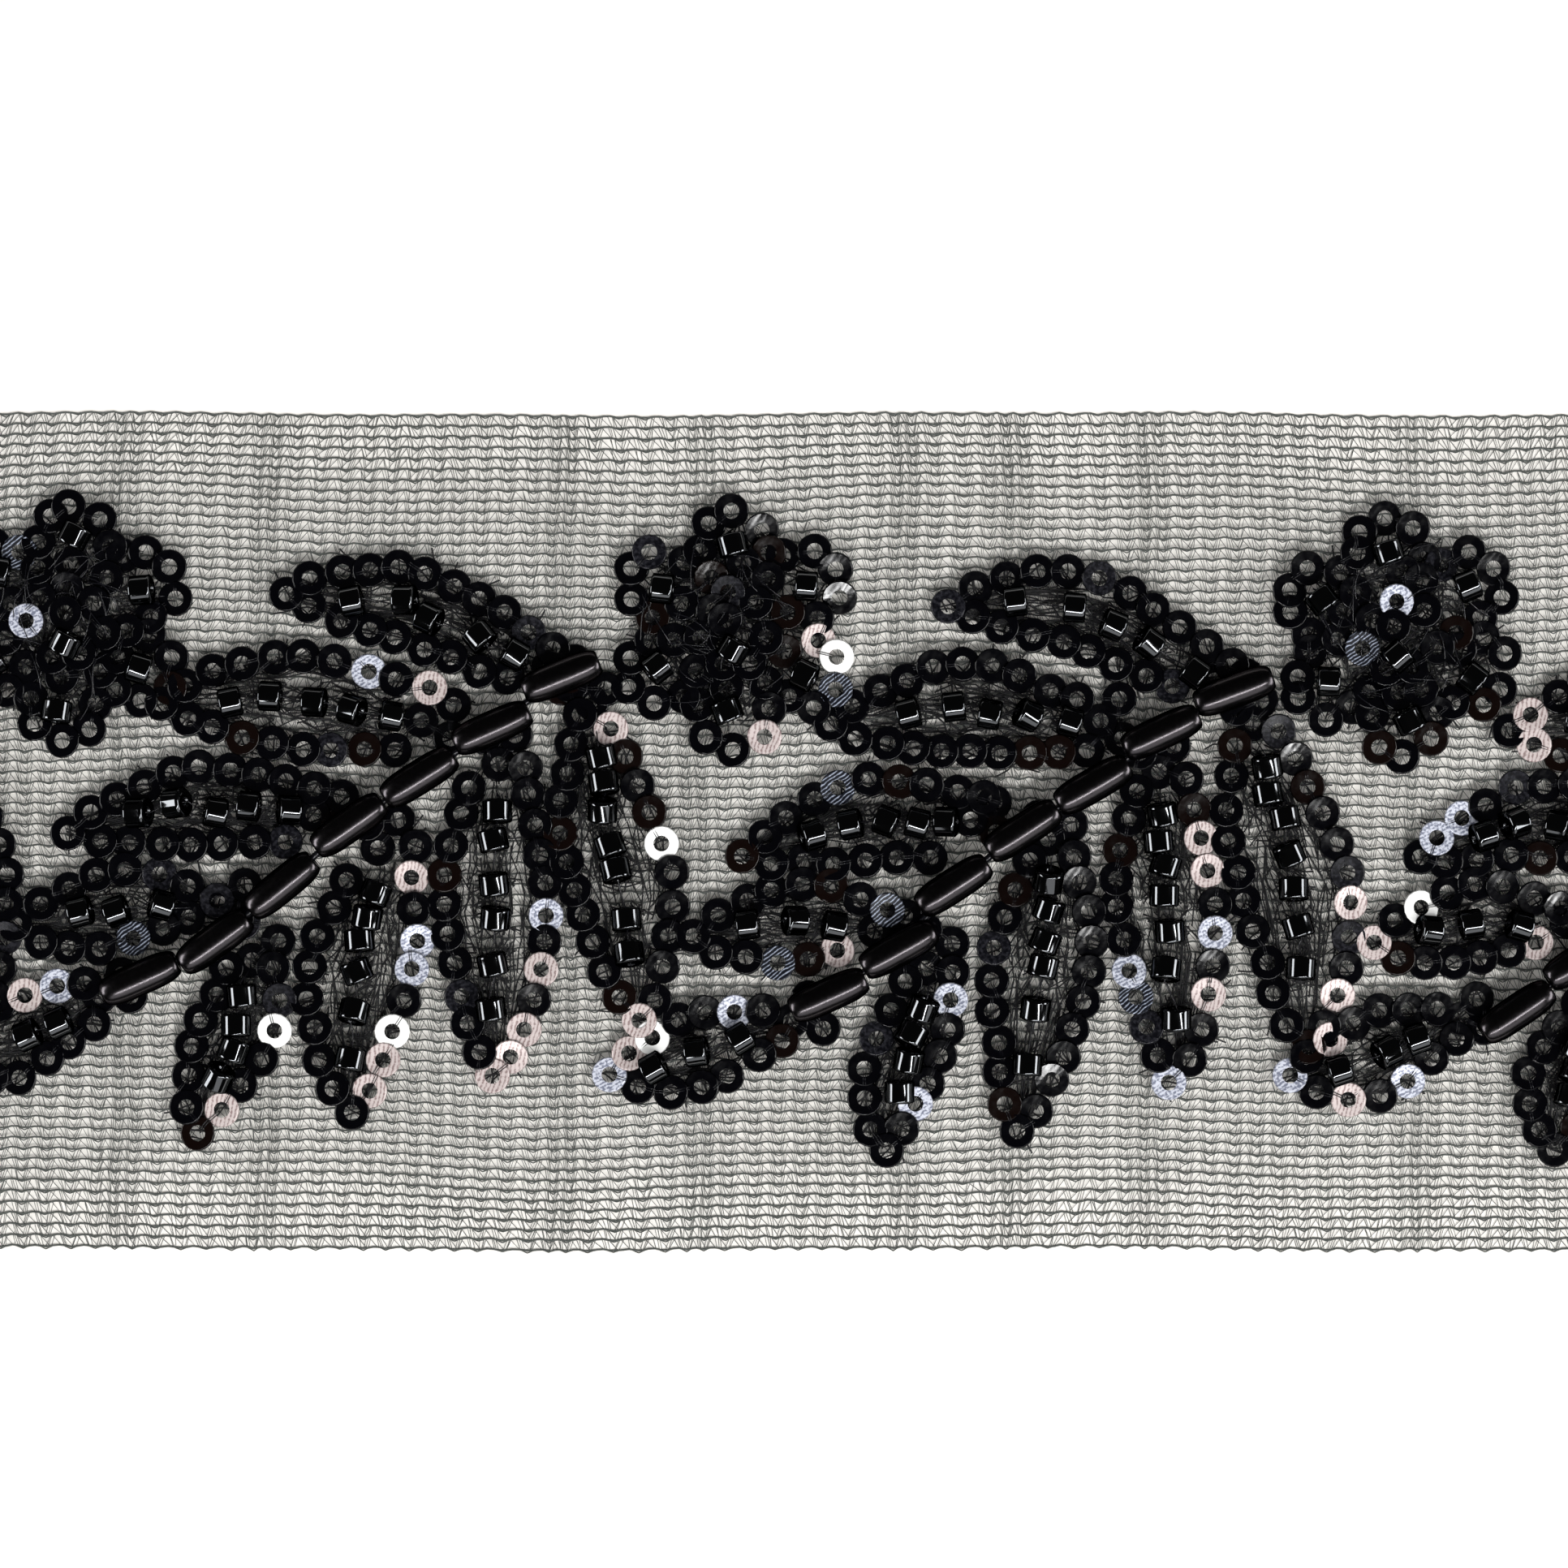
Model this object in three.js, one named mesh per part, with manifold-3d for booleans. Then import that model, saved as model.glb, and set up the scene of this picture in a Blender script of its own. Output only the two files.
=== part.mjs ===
// Sequin trim: a cut length of black open net, embroidered with a running vine. Bead stems rise to the
// right, with looped sequin leaves on both sides and a six-petalled sequin flower past each stem's end.
// Millimetres, +Z up. The origin is the middle of the underside, and +X runs along the trim.
import * as THREE from 'three';
import { mergeVertices } from 'three/addons/utils/BufferGeometryUtils.js';
import Module from 'manifold-3d';

const wasm = await Module();
wasm.setup();

// Driving sizes of the net
const NET_LENGTH = 192;
const NET_WIDTH = 76.5;
const NET_THICKNESS = 1;
const NET_EDGE_STEP = 8;
const NET_EDGE_WANDER = 0.25;
const NET_EDGE_RHYTHM = 1.9;

// Driving sizes of what is sewn to it
const SEQUIN_RADIUS = 1.5;
const SEQUIN_PITCH = 2.72;
const CYLINDER_BEAD_RADIUS = 1.25;
const CYLINDER_BEAD_LENGTH = 1.9;
const OVAL_RADIUS = 1.55;
const OVAL_LENGTH = 7;
const OVAL_END_RADIUS = 0.7;
const PETALS = 6;
const PETAL_REACH = 7.6;
const PETAL_RADIUS = 3.05;
const FLOWER_EYE_RADIUS = 4.8;

// Heights above the surface that the trim lies on, and the gap between neighbours
const PIECE_GAP = 0.3;
const WORK_BOTTOM = NET_THICKNESS + PIECE_GAP;
const WORK_THICKNESS = 0.8;
const WORK_TOP = WORK_BOTTOM + WORK_THICKNESS;
const BEAD_SINK = 0.05;
const CUT_GROWTH = 0.4;
const CUT_BOTTOM = 0.5;
const CUT_TOP = 6;

// How finely round shapes are drawn
const SCALLOP_ANGLE = THREE.MathUtils.degToRad(30);
const END_ANGLE = THREE.MathUtils.degToRad(70);
const OVAL_SIDES = 8;
const OVAL_STATIONS = [-1, -0.8, -0.4, 0.4, 0.8, 1];
const BEAD_SIDES = 6;
const ROUND_SIDES = 12;
const PETAL_SEQUIN_ANGLES = [-100, -52, 0, 52, 100];
const SIDE_SAMPLES = 160;
const SAMPLE_SLACK = 1e-6;
const TIP_AT = 0.5;
const SAME_POINT = 1e-5;

// Stem beads, lowest first: the middle of each, and how steeply it rises to the right in degrees
const STEM_COLUMNS = ['x', 'y', 'rise'];
const STEMS = {
  1: [
    [-67.8, -13.1, 24],
    [-61.1, -9.8, 36],
    [-55.1, -4.8, 39],
    [-49.1, 0.6, 35],
    [-42.8, 4.9, 32],
    [-36.3, 9.3, 24],
    [-30.1, 13.9, 22],
  ],
  2: [
    [-6.2, -14.6, 24],
    [0.1, -10.5, 29],
    [5.0, -4.8, 33],
    [11.2, 0.1, 33],
    [17.5, 4.2, 30],
    [23.6, 8.9, 25],
    [30.1, 12.6, 20],
  ],
  3: [
    [55.4, -16.1, 34],
    [61.3, -11.4, 32],
    [65.9, -5.4, 35],
    [72.1, -0.5, 33],
    [78.3, 3.6, 30],
    [84.2, 8.2, 26],
    [90.6, 11.9, 20],
  ],
};

// Leaves. Each is a chain of sequins through five places, from one root over the tip to the other root,
// counter-clockwise. The beads of its middle row come last.
const LEAF_COLUMNS = ['name', 'rootA', 'bellyA', 'tip', 'bellyB', 'rootB', 'beads'];
const LEAVES = [
  ['lower_leaf_0_4', [-88.2, 10.4], [-89.7, -1.1], [-83.0, -16.9], [-79.9, -4.8], [-85.3, 9.2], 6],

  ['upper_leaf_1_1', [-30.9, 16.6], [-43.2, 23.5], [-54.9, 21.4], [-44.8, 17.3], [-35.0, 13.6], 5],
  ['upper_leaf_1_2', [-42.3, 12.9], [-54.9, 15.8], [-66.2, 11.4], [-55.6, 7.8], [-45.1, 7.2], 5],
  ['upper_leaf_1_3', [-52.2, 3.9], [-63.3, 5.7], [-74.3, 0.0], [-64.0, -1.1], [-55.1, -0.8], 5],
  ['upper_leaf_1_4', [-61.1, -6.0], [-69.9, -3.3], [-79.0, -8.3], [-72.1, -10.5], [-63.6, -7.6], 3],
  ['upper_leaf_1_5', [-72.8, -13.7], [-80.3, -15.3], [-86.3, -21.5], [-78.6, -21.8], [-72.2, -17.3], 3],
  ['lower_leaf_1_1', [-60.0, -12.1], [-63.6, -20.2], [-62.7, -27.0], [-55.8, -18.0], [-56.2, -12.3], 4],
  ['lower_leaf_1_2', [-49.4, -4.4], [-52.9, -13.2], [-49.1, -25.3], [-43.7, -12.8], [-43.6, -1.2], 6],
  ['lower_leaf_1_3', [-38.5, 4.0], [-40.7, -7.0], [-36.1, -22.0], [-31.6, -9.2], [-33.6, 5.8], 6],
  ['lower_leaf_1_4', [-28.6, 10.4], [-30.1, -1.1], [-23.4, -16.9], [-20.3, -4.8], [-25.7, 9.2], 7],

  ['upper_leaf_2_1', [30.1, 15.1], [16.5, 23.3], [4.7, 20.3], [15.7, 16.6], [24.8, 13.0], 5],
  ['upper_leaf_2_2', [16.1, 11.9], [5.5, 15.1], [-5.9, 9.5], [5.5, 7.1], [17.0, 7.4], 5],
  ['upper_leaf_2_3', [8.0, 3.3], [-3.3, 4.4], [-14.0, -2.2], [-4.0, -2.5], [2.8, -2.2], 5],
  ['upper_leaf_2_4', [-0.7, -7.1], [-8.8, -4.6], [-18.2, -9.2], [-11.7, -11.7], [-5.3, -10.6], 3],
  ['upper_leaf_2_5', [-11.9, -16.1], [-19.0, -16.6], [-25.8, -22.0], [-17.8, -23.1], [-10.3, -18.7], 3],
  ['lower_leaf_2_1', [0.7, -13.6], [-2.9, -21.6], [-1.2, -28.8], [4.2, -19.1], [5.1, -12.7], 4],
  ['lower_leaf_2_2', [11.8, -2.7], [8.6, -12.1], [11.0, -26.9], [17.3, -12.8], [15.9, -2.0], 6],
  ['lower_leaf_2_3', [21.3, 3.8], [19.7, -6.3], [24.7, -22.5], [28.6, -9.2], [26.0, 4.8], 7],
  ['lower_leaf_2_4', [30.1, 7.6], [30.0, -2.2], [36.7, -19.4], [40.7, -5.5], [34.4, 9.0], 7],

  ['upper_leaf_3_1', [90.5, 14.4], [77.0, 22.6], [65.2, 19.6], [76.3, 15.9], [85.4, 12.3], 5],
  ['upper_leaf_3_2', [76.8, 11.2], [66.2, 14.4], [54.9, 9.0], [66.2, 6.3], [77.8, 6.7], 5],
  ['upper_leaf_3_3', [68.7, 2.5], [56.7, 4.1], [46.7, -2.4], [56.0, -2.3], [63.5, -2.7], 5],
  ['upper_leaf_3_4', [59.5, -6.8], [51.9, -4.8], [42.8, -9.9], [49.7, -12.0], [57.4, -9.9], 3],
  ['upper_leaf_3_5', [48.5, -16.0], [42.4, -16.6], [35.3, -22.0], [42.8, -24.0], [50.3, -18.7], 3],
  ['lower_leaf_3_1', [61.1, -15.4], [56.8, -22.0], [59.0, -28.6], [64.8, -19.9], [65.7, -13.6], 4],
  ['lower_leaf_3_2', [72.3, -3.5], [69.1, -13.0], [71.5, -27.8], [77.8, -13.7], [76.5, -2.9], 6],
  ['lower_leaf_3_3', [81.7, 3.0], [80.1, -7.0], [85.1, -23.2], [89.0, -9.9], [86.5, 4.1], 7],
];
const FIRST_BEAD_AT = 0.16;
const LAST_BEAD_AT = 0.7;

// Flowers: the middle of each, and the way its first petal points in degrees
const FLOWER_COLUMNS = ['name', 'x', 'y', 'turn'];
const FLOWERS = [
  ['flower_1', -74.5, 18.8, 87],
  ['flower_2', -14.7, 18.2, 90],
  ['flower_3', 44.8, 17.6, 95],
];

const netMaterial = new THREE.MeshStandardMaterial({ color: 0x1c2022, roughness: 0.75, metalness: 0 });
const sequinMaterial = new THREE.MeshStandardMaterial({ color: 0x0d0c10, roughness: 0.22, metalness: 0 });
const stemMaterial = new THREE.MeshStandardMaterial({ color: 0x08080a, roughness: 0.2, metalness: 0 });

function row(columns, values) {
  return Object.fromEntries(columns.map((column, i) => [column, values[i]]));
}

function turned(degrees, length) {
  const angle = THREE.MathUtils.degToRad(degrees);
  return new THREE.Vector2(Math.cos(angle) * length, Math.sin(angle) * length);
}

function ellipse(x, y, halfLength, halfWidth, degrees) {
  const tilt = THREE.MathUtils.degToRad(degrees);
  const curve = new THREE.EllipseCurve(x, y, halfLength, halfWidth, 0, 2 * Math.PI, false, tilt);
  return curve.getPoints(ROUND_SIDES).slice(0, ROUND_SIDES);
}

// Solids

function solidOf(geometry) {
  const bare = geometry.clone();
  bare.deleteAttribute('normal');
  bare.deleteAttribute('uv');
  const merged = mergeVertices(bare, SAME_POINT);
  return new wasm.Manifold(
    new wasm.Mesh({
      numProp: 3,
      vertProperties: new Float32Array(merged.attributes.position.array),
      triVerts: new Uint32Array(merged.index.array),
    }),
  );
}

function geometryOf(solid) {
  const { vertProperties, triVerts } = solid.getMesh();
  const geometry = new THREE.BufferGeometry();
  geometry.setAttribute('position', new THREE.BufferAttribute(new Float32Array(vertProperties), 3));
  geometry.setIndex(new THREE.BufferAttribute(new Uint32Array(triVerts), 1));
  return geometry;
}

function largestPart(solid) {
  return solid.decompose().reduce((a, b) => (a.volume() > b.volume() ? a : b));
}

function prism(outline, bottom, top) {
  const shape = new THREE.Shape(outline);
  const geometry = new THREE.ExtrudeGeometry(shape, { depth: top - bottom, bevelEnabled: false });
  return solidOf(geometry.translate(0, 0, bottom));
}

function joined(solids) {
  return solids.reduce((a, b) => a.add(b));
}

function cutBy(solid, cutters) {
  return cutters.reduce((rest, cutter) => rest.subtract(cutter), solid);
}

// Scallops: the outer edge of a chain of round sequins, given where each lies and which way is out

function scalloped(places, radius) {
  const outline = [];
  const first = places[0];
  const last = places[places.length - 1];
  const onRim = (place, angle) => {
    const way = place.out.clone().rotateAround(new THREE.Vector2(), angle);
    return place.at.clone().addScaledVector(way, radius);
  };
  outline.push(onRim(first, -END_ANGLE));
  places.forEach((place, i) => {
    outline.push(onRim(place, -SCALLOP_ANGLE), onRim(place, SCALLOP_ANGLE));
    const next = places[i + 1];
    if (!next) return;
    const half = place.at.distanceTo(next.at) / 2;
    const depth = Math.sqrt(Math.max(radius * radius - half * half, 0));
    const out = place.out.clone().add(next.out).normalize();
    outline.push(place.at.clone().lerp(next.at, 0.5).addScaledVector(out, depth));
  });
  outline.push(onRim(last, END_ANGLE));
  return outline;
}

// Cylinder beads lie on the work with their holes along the row

function cylinderBead(at, degrees) {
  const radius = CYLINDER_BEAD_RADIUS / Math.cos(Math.PI / BEAD_SIDES);
  const geometry = new THREE.CylinderGeometry(radius, radius, CYLINDER_BEAD_LENGTH, BEAD_SIDES);
  geometry.rotateY(Math.PI / BEAD_SIDES);
  geometry.rotateZ(Math.PI / 2);
  geometry.rotateZ(THREE.MathUtils.degToRad(degrees));
  return solidOf(geometry.translate(at.x, at.y, WORK_BOTTOM + BEAD_SINK + CYLINDER_BEAD_RADIUS));
}

// Leaves

function leafChain(leaf) {
  const points = [leaf.rootA, leaf.bellyA, leaf.tip, leaf.bellyB, leaf.rootB];
  return new THREE.CatmullRomCurve3(points.map(([x, y]) => new THREE.Vector3(x, y, 0)), false, 'catmullrom');
}

// Where the sequins of one side lie, an even pitch apart, between two parameters of the chain

function sidePlaces(chain, from, to) {
  const samples = [];
  let length = 0;
  for (let i = 0; i <= SIDE_SAMPLES; i += 1) {
    const t = from + ((to - from) * i) / SIDE_SAMPLES;
    const at = chain.getPoint(t);
    if (i) length += at.distanceTo(samples[i - 1].at);
    samples.push({ at, t, length });
  }
  const steps = Math.round(length / SEQUIN_PITCH);
  const places = [];
  for (let i = 0; i <= steps; i += 1) {
    const sample = samples.find((s) => s.length >= (length * i) / steps - SAMPLE_SLACK);
    const along = chain.getTangent(sample.t);
    const at = new THREE.Vector2(sample.at.x, sample.at.y);
    places.push({ at, out: new THREE.Vector2(along.y, -along.x) });
  }
  return places;
}

function leafOutline(leaf, radius) {
  const chain = leafChain(leaf);
  const sideA = sidePlaces(chain, 0, TIP_AT);
  const sideB = sidePlaces(chain, TIP_AT, 1);
  return scalloped([...sideA, ...sideB.slice(1)], radius);
}

function leafMiddle(leaf, fraction) {
  const chain = leafChain(leaf);
  const sideA = chain.getPoint(fraction * TIP_AT);
  const sideB = chain.getPoint(1 - fraction * TIP_AT);
  return new THREE.Vector2((sideA.x + sideB.x) / 2, (sideA.y + sideB.y) / 2);
}

function leafBeads(leaf) {
  const beads = [];
  const step = (LAST_BEAD_AT - FIRST_BEAD_AT) / (leaf.beads - 1);
  for (let i = 0; i < leaf.beads; i += 1) {
    const fraction = FIRST_BEAD_AT + i * step;
    const way = leafMiddle(leaf, fraction + step / 2).sub(leafMiddle(leaf, fraction - step / 2));
    beads.push(cylinderBead(leafMiddle(leaf, fraction), THREE.MathUtils.radToDeg(way.angle())));
  }
  return beads;
}

// Flowers

function petalOutline(flower, index, radius) {
  const facing = flower.turn + (index * 360) / PETALS;
  const middle = new THREE.Vector2(flower.x, flower.y);
  const centre = turned(facing, PETAL_REACH).add(middle);
  const places = PETAL_SEQUIN_ANGLES.map((angle) => ({
    at: turned(facing + angle, PETAL_RADIUS).add(centre),
    out: turned(facing + angle, 1),
  }));
  return [middle, ...scalloped(places, radius)];
}

function flowerPetals(flower, radius, bottom, top) {
  const eye = ellipse(flower.x, flower.y, FLOWER_EYE_RADIUS, FLOWER_EYE_RADIUS, flower.turn);
  const petals = [prism(eye, bottom, top)];
  for (let i = 0; i < PETALS; i += 1) {
    petals.push(prism(petalOutline(flower, i, radius), bottom, top));
  }
  return joined(petals);
}

function flowerBeads(flower) {
  const middle = new THREE.Vector2(flower.x, flower.y);
  const beads = [cylinderBead(middle, flower.turn)];
  for (let i = 0; i < PETALS; i += 1) {
    const facing = flower.turn + (i * 360) / PETALS;
    beads.push(cylinderBead(turned(facing, PETAL_REACH).add(middle), facing));
  }
  return beads;
}

// Stem beads: a barrel that narrows to a small flat at each end

function ovalRadiusAt(fraction) {
  const bulge = Math.sqrt(1 - fraction * fraction);
  return OVAL_END_RADIUS + (OVAL_RADIUS - OVAL_END_RADIUS) * bulge;
}

function ovalGeometry(bead) {
  const half = OVAL_LENGTH / 2;
  const profile = OVAL_STATIONS.map((f) => new THREE.Vector2(ovalRadiusAt(f), f * half));
  profile.unshift(new THREE.Vector2(0, -half));
  profile.push(new THREE.Vector2(0, half));
  const geometry = new THREE.LatheGeometry(profile, OVAL_SIDES);
  geometry.rotateZ(-Math.PI / 2);
  geometry.rotateZ(THREE.MathUtils.degToRad(bead.rise));
  return geometry.translate(bead.x, bead.y, WORK_BOTTOM + OVAL_RADIUS);
}

function ovalCutter(bead) {
  const halfLength = OVAL_LENGTH / 2 + CUT_GROWTH;
  return prism(ellipse(bead.x, bead.y, halfLength, OVAL_RADIUS + CUT_GROWTH, bead.rise), CUT_BOTTOM, CUT_TOP);
}

// The net's outline: a rectangle whose cut edges wander a little

function netOutline() {
  const outline = [];
  const halfLength = NET_LENGTH / 2 - NET_EDGE_WANDER;
  const halfWidth = NET_WIDTH / 2 - NET_EDGE_WANDER;
  const corners = [[-1, -1], [1, -1], [1, 1], [-1, 1]];
  corners.forEach(([cornerX, cornerY], i) => {
    const from = new THREE.Vector2(cornerX * halfLength, cornerY * halfWidth);
    const [nextX, nextY] = corners[(i + 1) % corners.length];
    const to = new THREE.Vector2(nextX * halfLength, nextY * halfWidth);
    const steps = Math.round(from.distanceTo(to) / NET_EDGE_STEP);
    const out = to.clone().sub(from).normalize().rotateAround(new THREE.Vector2(), -Math.PI / 2);
    for (let k = 0; k < steps; k += 1) {
      const wander = NET_EDGE_WANDER * Math.sin(k * NET_EDGE_RHYTHM + i);
      outline.push(from.clone().lerp(to, k / steps).addScaledVector(out, k ? wander : 0));
    }
  });
  return outline;
}

// The trim, piece by piece

const trim = new THREE.Group();
const cutters = [];

function addPiece(name, geometry, material) {
  const mesh = new THREE.Mesh(geometry, material);
  mesh.name = name;
  trim.add(mesh);
}

addPiece('net', geometryOf(prism(netOutline(), 0, NET_THICKNESS)), netMaterial);

for (const [spray, beads] of Object.entries(STEMS)) {
  beads.forEach((values, i) => {
    const bead = row(STEM_COLUMNS, values);
    addPiece(`stem_bead_${spray}_${i + 1}`, ovalGeometry(bead), stemMaterial);
    cutters.push(ovalCutter(bead));
  });
}

for (const values of FLOWERS) {
  const flower = row(FLOWER_COLUMNS, values);
  const work = cutBy(flowerPetals(flower, SEQUIN_RADIUS, WORK_BOTTOM, WORK_TOP), cutters);
  addPiece(flower.name, geometryOf(joined([largestPart(work), ...flowerBeads(flower)])), sequinMaterial);
  cutters.push(flowerPetals(flower, SEQUIN_RADIUS + CUT_GROWTH, CUT_BOTTOM, CUT_TOP));
}

for (const values of LEAVES) {
  const leaf = row(LEAF_COLUMNS, values);
  const work = cutBy(prism(leafOutline(leaf, SEQUIN_RADIUS), WORK_BOTTOM, WORK_TOP), cutters);
  addPiece(leaf.name, geometryOf(joined([largestPart(work), ...leafBeads(leaf)])), sequinMaterial);
  cutters.push(prism(leafOutline(leaf, SEQUIN_RADIUS + CUT_GROWTH), CUT_BOTTOM, CUT_TOP));
}

export default trim;
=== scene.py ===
"""Sequin trim: black open net with a vine of ring sequins, cylinder beads and oval beads."""

import math
import random

import bpy
import numpy as np
from mathutils import Matrix, Vector


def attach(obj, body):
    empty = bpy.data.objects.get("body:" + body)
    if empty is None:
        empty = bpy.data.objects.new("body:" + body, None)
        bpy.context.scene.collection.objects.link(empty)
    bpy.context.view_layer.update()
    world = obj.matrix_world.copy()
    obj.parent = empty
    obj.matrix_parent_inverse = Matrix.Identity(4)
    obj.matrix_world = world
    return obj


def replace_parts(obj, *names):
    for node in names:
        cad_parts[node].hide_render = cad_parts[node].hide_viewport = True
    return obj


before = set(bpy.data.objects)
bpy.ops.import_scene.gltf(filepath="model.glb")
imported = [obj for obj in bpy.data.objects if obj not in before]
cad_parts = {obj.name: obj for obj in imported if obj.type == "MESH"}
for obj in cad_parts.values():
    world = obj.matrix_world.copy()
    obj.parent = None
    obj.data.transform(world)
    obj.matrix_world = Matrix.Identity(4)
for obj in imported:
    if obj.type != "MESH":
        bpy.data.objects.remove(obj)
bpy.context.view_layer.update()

MM = 0.001
SEED = 41

# The net's flat size, and the pitch of its yarn rows and of its loops
NET_LENGTH = 192.0
NET_WIDTH = 76.5
ROW_PITCH = 0.95
LOOP_PITCH = 2.05
NET_ROWS = int(NET_WIDTH / ROW_PITCH)
NET_LOOPS = int(round(NET_LENGTH / LOOP_PITCH))
STEPS_PER_LOOP = 4

# The net's height above the surface at its edges and under the work, how far across the work reaches,
# and how far past it the net comes down
NET_LOW = 0.16
NET_HIGH = 0.5
WORK_REACH = 26.0
NET_EASE = 9.0
# Ripples: height, then the turn for each millimetre along and across. A share of them stays at the edges
RIPPLES = ((0.05, 0.31, 0.17), (0.03, 0.9, -0.43))
EDGE_RIPPLE = 0.3

# Slow shifts of the columns: width, then the turn for each row and for each millimetre along
COLUMN_DRIFTS = ((0.3, 0.11, 0.02), (0.12, 0.37, 0.045))
END_EASE = 6.0
# Slow bends of the rows: width and turn for each millimetre along. Then the long one has where it
# starts, and the short one its turn for each millimetre across
LONG_BEND = (0.42, 0.075, 0.6)
SHORT_BEND = (0.2, 0.19, 0.06)
EDGE_EASE = 8.0
EDGE_BEND = 0.35

# The yarn of each row, and the second ply that hangs below it in each loop as an eyelet
YARN_RADIUS = 0.1
WAVE_HEIGHT = 0.08
YARN_ARCH = 0.05
YARN_JITTER = 0.018
END_WANDER = 0.3
PLY_RADIUS = 0.06
PLY_LIFT = 0.02
EYELET_DROP = 0.18
EYELET_SHARE = 0.62
EYELET_PHASE = 0.52
EYELET_SAG = (0.6, 1.25)
EYELET_JITTER = 0.03
# An eyelet's three stations: how far along its run, and the share of its drop
EYELET_BEND = ((-0.5, 0.0), (0.05, 1.0), (0.5, 0.0))

# Each filament between two rows: where it leaves the upper row and reaches the lower one,
# as shares of the loop pitch. One that runs far is a diagonal, and some areas have it mirrored
FILAMENTS = (
    (0.09, 0.24), (0.19, 0.33), (0.29, 0.42),
    (0.91, 0.76), (0.81, 0.67), (0.71, 0.58),
    (0.30, 0.68), (0.80, 1.16),
)
DIAGONAL_RUN = 0.3
MIRRORED_TURNS = (0.045, 0.06)
MIRRORED_ABOVE = 0.55
FILAMENT_RADIUS = 0.033
FILAMENT_RANGE = (0.8, 1.2)
FILAMENT_JITTER = 0.03
FILAMENT_MARGIN = 0.1
FILAMENT_PIECES = 3

# Places along the trim where the columns of loops are drawn together, and how far
PINCHED_COLUMNS = (-69.9, -56.7, -30.4, -17.9, 0.4, 9.9, 22.3, 46.5)
PINCH_WIDTH = 2.4
PINCH_SHARE = 0.3

# Ring sequins
SEQUIN_RADIUS = 1.6
SEQUIN_HOLE = 0.72
SEQUIN_FILM = 0.13
SEQUIN_DISH = 0.05
SEQUIN_EDGE = 0.12
SEQUIN_PITCH = 2.72
SEQUIN_SIDES = 18
SEQUIN_HEIGHT = 1.4
SEQUIN_SPIN = 0.3

# Cylinder beads and oval beads
CYLINDER_RADIUS = 1.36
CYLINDER_LENGTH = 2.0
CYLINDER_HOLE = 0.42
CYLINDER_LIP = 0.12
CYLINDER_BEVEL = 0.2
CYLINDER_RIM = 0.14
CYLINDER_WAIST = 0.012
HOLE_BEVEL = 0.08
CYLINDER_SIDES = 18
CYLINDER_AXIS_HEIGHT = 2.42
OVAL_RADIUS = 1.55
OVAL_LENGTH = 7.3
OVAL_END_RADIUS = 0.9
OVAL_HOLE = 0.4
# The belly stays wide for longer with a higher fullness, and with a lower shoulder
OVAL_FULLNESS = 3.6
OVAL_SHOULDER = 0.6
OVAL_SIDES = 32
OVAL_RINGS = 18
OVAL_AXIS_HEIGHT = 2.8

# Stitches from a sequin's hole over its edge: a path of how far out, and the rise above the film
STITCH_RADIUS = 0.045
STITCH_GAP = 0.1
STITCH_PATH = ((0.3, -0.7), (0.66, 0.1), (1.5, 0.12), (1.9, -0.75))
STITCH_DRIFT = 0.25
LONGEST_STITCH = 5
BACK_STITCH_SHARE = 0.3

# Floats that wander over a flower: the turn from end to end is in radians, and the reach is a share
FLOAT_RADIUS = 0.045
FLOATS_PER_FLOWER = 30
FLOAT_TURN = (0.6, 2.6)
FLOAT_BOW = 1.5
FLOAT_REACH = (0.2, 1)
FLOAT_PAST_PETALS = 2
LONGEST_FLOAT = 6.5
FLOAT_STEPS = 8
FLOAT_LOW = 1.3
FLOAT_ARCH = 0.9

# Short stitches that crowd the net under the work
BACKING_RADIUS = 0.09
BACKING_PER_FLOWER = 430
BACKING_REACH = 1.12
BACKING_HALF = (0.7, 1.9)
BACKING_PATH = ((-1, -0.15), (-0.3, 0.1), (0.35, 0.1), (1, -0.15))
BACKING_HEIGHT = (0.75, 1.0)
BACKING_JITTER = 0.06
BACKING_PER_SEQUIN = 4
BACKING_PER_BEAD = 18
SPREAD_UNDER_SEQUIN = 0.5
SPREAD_UNDER_BEAD = 0.85
CROWDED_HALF = (0.8, 1.5)
CROWDED_BEND = 0.3
CROWDED_LOW = 0.65
CROWDED_HIGH = 0.9

# Threads that run along a leaf: where each starts, its length and its end, as shares of the leaf
LENGTHWISE_RADIUS = 0.08
LENGTHWISE_PER_LEAF = 80
LENGTHWISE_START = (0.0, 0.75)
LENGTHWISE_RUN = (0.12, 0.32)
LENGTHWISE_END = 0.93
LENGTHWISE_SIDE = (0.05, 0.95)
LENGTHWISE_STEPS = 3
LENGTHWISE_WANDER = 0.05
LENGTHWISE_HEIGHT = 0.78
LENGTHWISE_JITTER = 0.06

# The thread through a row of beads, down to the net between them, and the one through a stem
BEAD_THREAD_RADIUS = STITCH_RADIUS * 1.3
BEAD_THREAD_PAST = 0.1
BEAD_THREAD_END = 0.8
BEAD_THREAD_LOW = 1.35
STEM_THREAD_RADIUS = 0.3

# Leaves: a chain of sequins, each tilted to overlap the next. Tilts are in degrees
SIDE_SAMPLES = 160
LEAF_NUDGE = 0.13
LEAF_LEAN = 5
LEAF_LEAN_SPREAD = 2.4
LEAF_SIDE_SPREAD = 2.6
LEAF_RISE = (-0.1, 0.14)
# Past a leaf's root, toward the stem and to the side: where the chain's last sequins tuck in
ROOT_SEQUINS = ((1.4, 0.1), (3.3, -1.3), (3.5, 1.4))
ROOT_HEIGHT = 1.1
ROOT_NUDGE = (0.3, 0.25)
ROOT_LEAN_SPREAD = 2

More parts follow.
